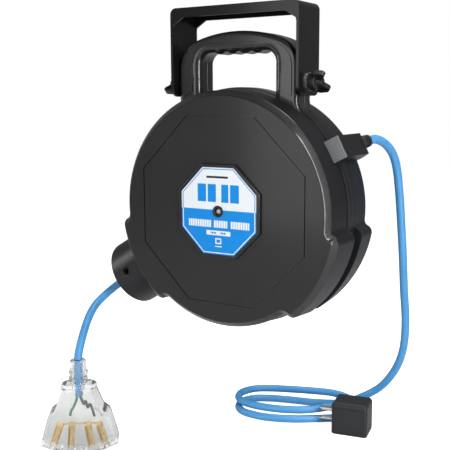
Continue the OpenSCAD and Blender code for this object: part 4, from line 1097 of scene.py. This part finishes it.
# --- inlet ----------------------------------------------------------------------------
# A black box on the rim with a grey cap at its front. The supply lead goes in at its slanted
# rear corner, through a ribbed rubber bush.
cap_grey = grained_plastic("cap_grey", (92, 93, 96), (104, 105, 108), 0.42, 0.00004)
placed(softened("lead_box", "inlet_box", 0.8, 3), "housing", "case_black", case_black, "inlet_box")
placed(softened("lead_box_cap", "inlet_cap", 0.5), "housing", "cap_grey", cap_grey, "inlet_cap")
placed(softened("lead_bush", "strain_relief", 0.2), "housing", "rubber_black", rubber_black,
       "strain_relief")
finished("lead_entry", cord_blue)


# --- plug -----------------------------------------------------------------------------
# A block of black vinyl moulded on the end of the supply lead, with soft edges, two nickel
# blades and an earth pin.
PLUG_SIZE = (43, 35, 39.5)
PLUG_CORNER = Vector((0.070, 0.096, FLOOR_Z))
PLUG_TURN = Matrix.Rotation(math.radians(10), 3, "Z")
PLUG_MIDDLE = (15.5, 17)
# the block's foot and crown: how far each is taken in, at a height
PLUG_STEPS = [(2.0, 0), (0.8, 0.4), (0.2, 1.2), (0, 2.4), (0, 34.3), (0.3, 36.2), (1.2, 37.9),
              (2.7, 39.1), (4.6, PLUG_SIZE[2])]
# the fine line round the front face, outside and inside: half width, low and high edge
LINE_OUT, LINE_IN = (17.6, 3.4, 33.6), (16.9, 4.1, 32.9)
# a blade's outline: along it and across it
BLADE = [(-20, -7), (-37.6, -7), (-38.8, -6), (-39.2, -4.6), (-39.2, -3.0), (-38.8, -1.7),
         (-37.6, -0.65), (-20, -0.65)]
BLADE_HEIGHTS, BLADE_HALF = (14.15, 26.85), 0.75


def in_plug(x, y, z):
    """A place in the plug's own turn, from the middle of its foot."""
    return PLUG_CORNER + PLUG_TURN @ (MM * Vector((x + PLUG_MIDDLE[0], y + PLUG_MIDDLE[1], z)))


def soft_rectangle(inset, corner):
    """The block seen from above, taken in by the inset, with round corners."""
    half_x, half_y = PLUG_SIZE[0] / 2 - inset, PLUG_SIZE[1] / 2 - inset
    line = []
    for side_x, side_y, start in ((1, 1, 0), (-1, 1, 90), (-1, -1, 180), (1, -1, 270)):
        middle = (side_x * (half_x - corner), side_y * (half_y - corner))
        line += [p for p, _ in arc(middle, corner, start, start + 90, 6)]
    return line


plug_block = stacked("plug_block", [[in_plug(p.x, p.y, z)
                                     for p in soft_rectangle(inset, max(1.2, 4 - inset))]
                                    for inset, z in PLUG_STEPS])
plug_black = grained_plastic("plug_black", (28, 29, 31), (36, 37, 38), 0.40, 0.00007)


def face_frame(half_w, low, high, y_from, y_to):
    """A block over the plug's front face with its two upper corners taken off."""
    right = [(half_w, low), (half_w, high - 3), (half_w - 0.9, high - 0.9), (half_w - 3, high)]
    corners = [(-half_w, low)] + right + [(-x, z) for x, z in right[:0:-1]]
    return stacked("frame", [[in_plug(x, y, z) for x, z in corners] for y in (y_from, y_to)])


line = joined(face_frame(*LINE_OUT, -19, -17.1), face_frame(*LINE_IN, -20, -16), "DIFFERENCE")
joined(plug_block, line, "DIFFERENCE")
placed(smooth(tidy(plug_block)), "housing", "plug_black", plug_black, "plug_body")
nickel = plated_metal("nickel", (0.74, 0.73, 0.71, 1), 0.16)
blades = []
for z in BLADE_HEIGHTS:
    blade = stacked("blade", [[in_plug(x, y, z + side) for x, y in BLADE]
                              for side in (-BLADE_HALF, BLADE_HALF)])
    blades.append(rounded(blade, 0.3, 2, 60))
pin = lathe("earth_pin", [(0, 20), (2.4, 20), (2.4, 37.6), (1.9, 39.6), (1.0, 40.6), (0, 40.9)],
            in_plug(0, 8, 20.5), PLUG_TURN @ Vector((-1, 0, 0)), 32)
for blade in blades:
    joined(pin, blade)
pin.name = "plug_blades"
plug_prongs = placed(smooth(pin), "housing", "nickel", nickel, "plug_prongs")


# --- spool and inside parts -----------------------------------------------------------
# Inside the case: the moulded spool on its steel axle, the mainspring, the slip rings with
# their brushes, the ratchet and pawl, and two rollers that lead the cord out.
bright_steel = plated_metal("bright_steel", (0.63, 0.64, 0.66, 1), 0.2)
spring_steel = plated_metal("spring_steel", (0.38, 0.40, 0.44, 1), 0.3)
spool_plastic = grained_plastic("spool_plastic", (90, 90, 94), (104, 104, 108), 0.42, 0.00005)
bush_plastic = grained_plastic("bush_plastic", (222, 212, 168), (232, 224, 184), 0.38, 0.00003)
cream_plastic = grained_plastic("cream_plastic", (236, 230, 212), (244, 238, 222), 0.34, 0.00003)
carbon = grained_plastic("carbon", (52, 52, 54), (70, 70, 72), 0.5, 0.00004)
roller_plastic = grained_plastic("roller_plastic", (214, 214, 218), (226, 226, 230), 0.3, 0.00003)
inside = (
    (zinc_steel, "case_screws", "spring_cover", "spool_screws"),
    (bright_steel, "axle", "spring_arbor", "ratchet_wheel", "pawl", "pawl_pin", "roller_pins"),
    (spring_steel, "mainspring", "brush_springs", "pawl_spring"),
    (spool_plastic, "spool_hub", "front_flange", "rear_flange", "outlet_frame"),
    (bush_plastic, "front_bush", "rear_bush"),
    (cream_plastic, "slip_ring_disc", "brush_holder"),
    (brass, "slip_rings"),
    (carbon, "brushes"),
    (roller_plastic, "upper_roller", "lower_roller"),
    (cord_blue, "wound_cord", "cord_run"),
    (insulation("wire_white", tone(222, 222, 218)), "inner_wires"),
)
for material, *nodes in inside:
    for node in nodes:
        finished(node, material)
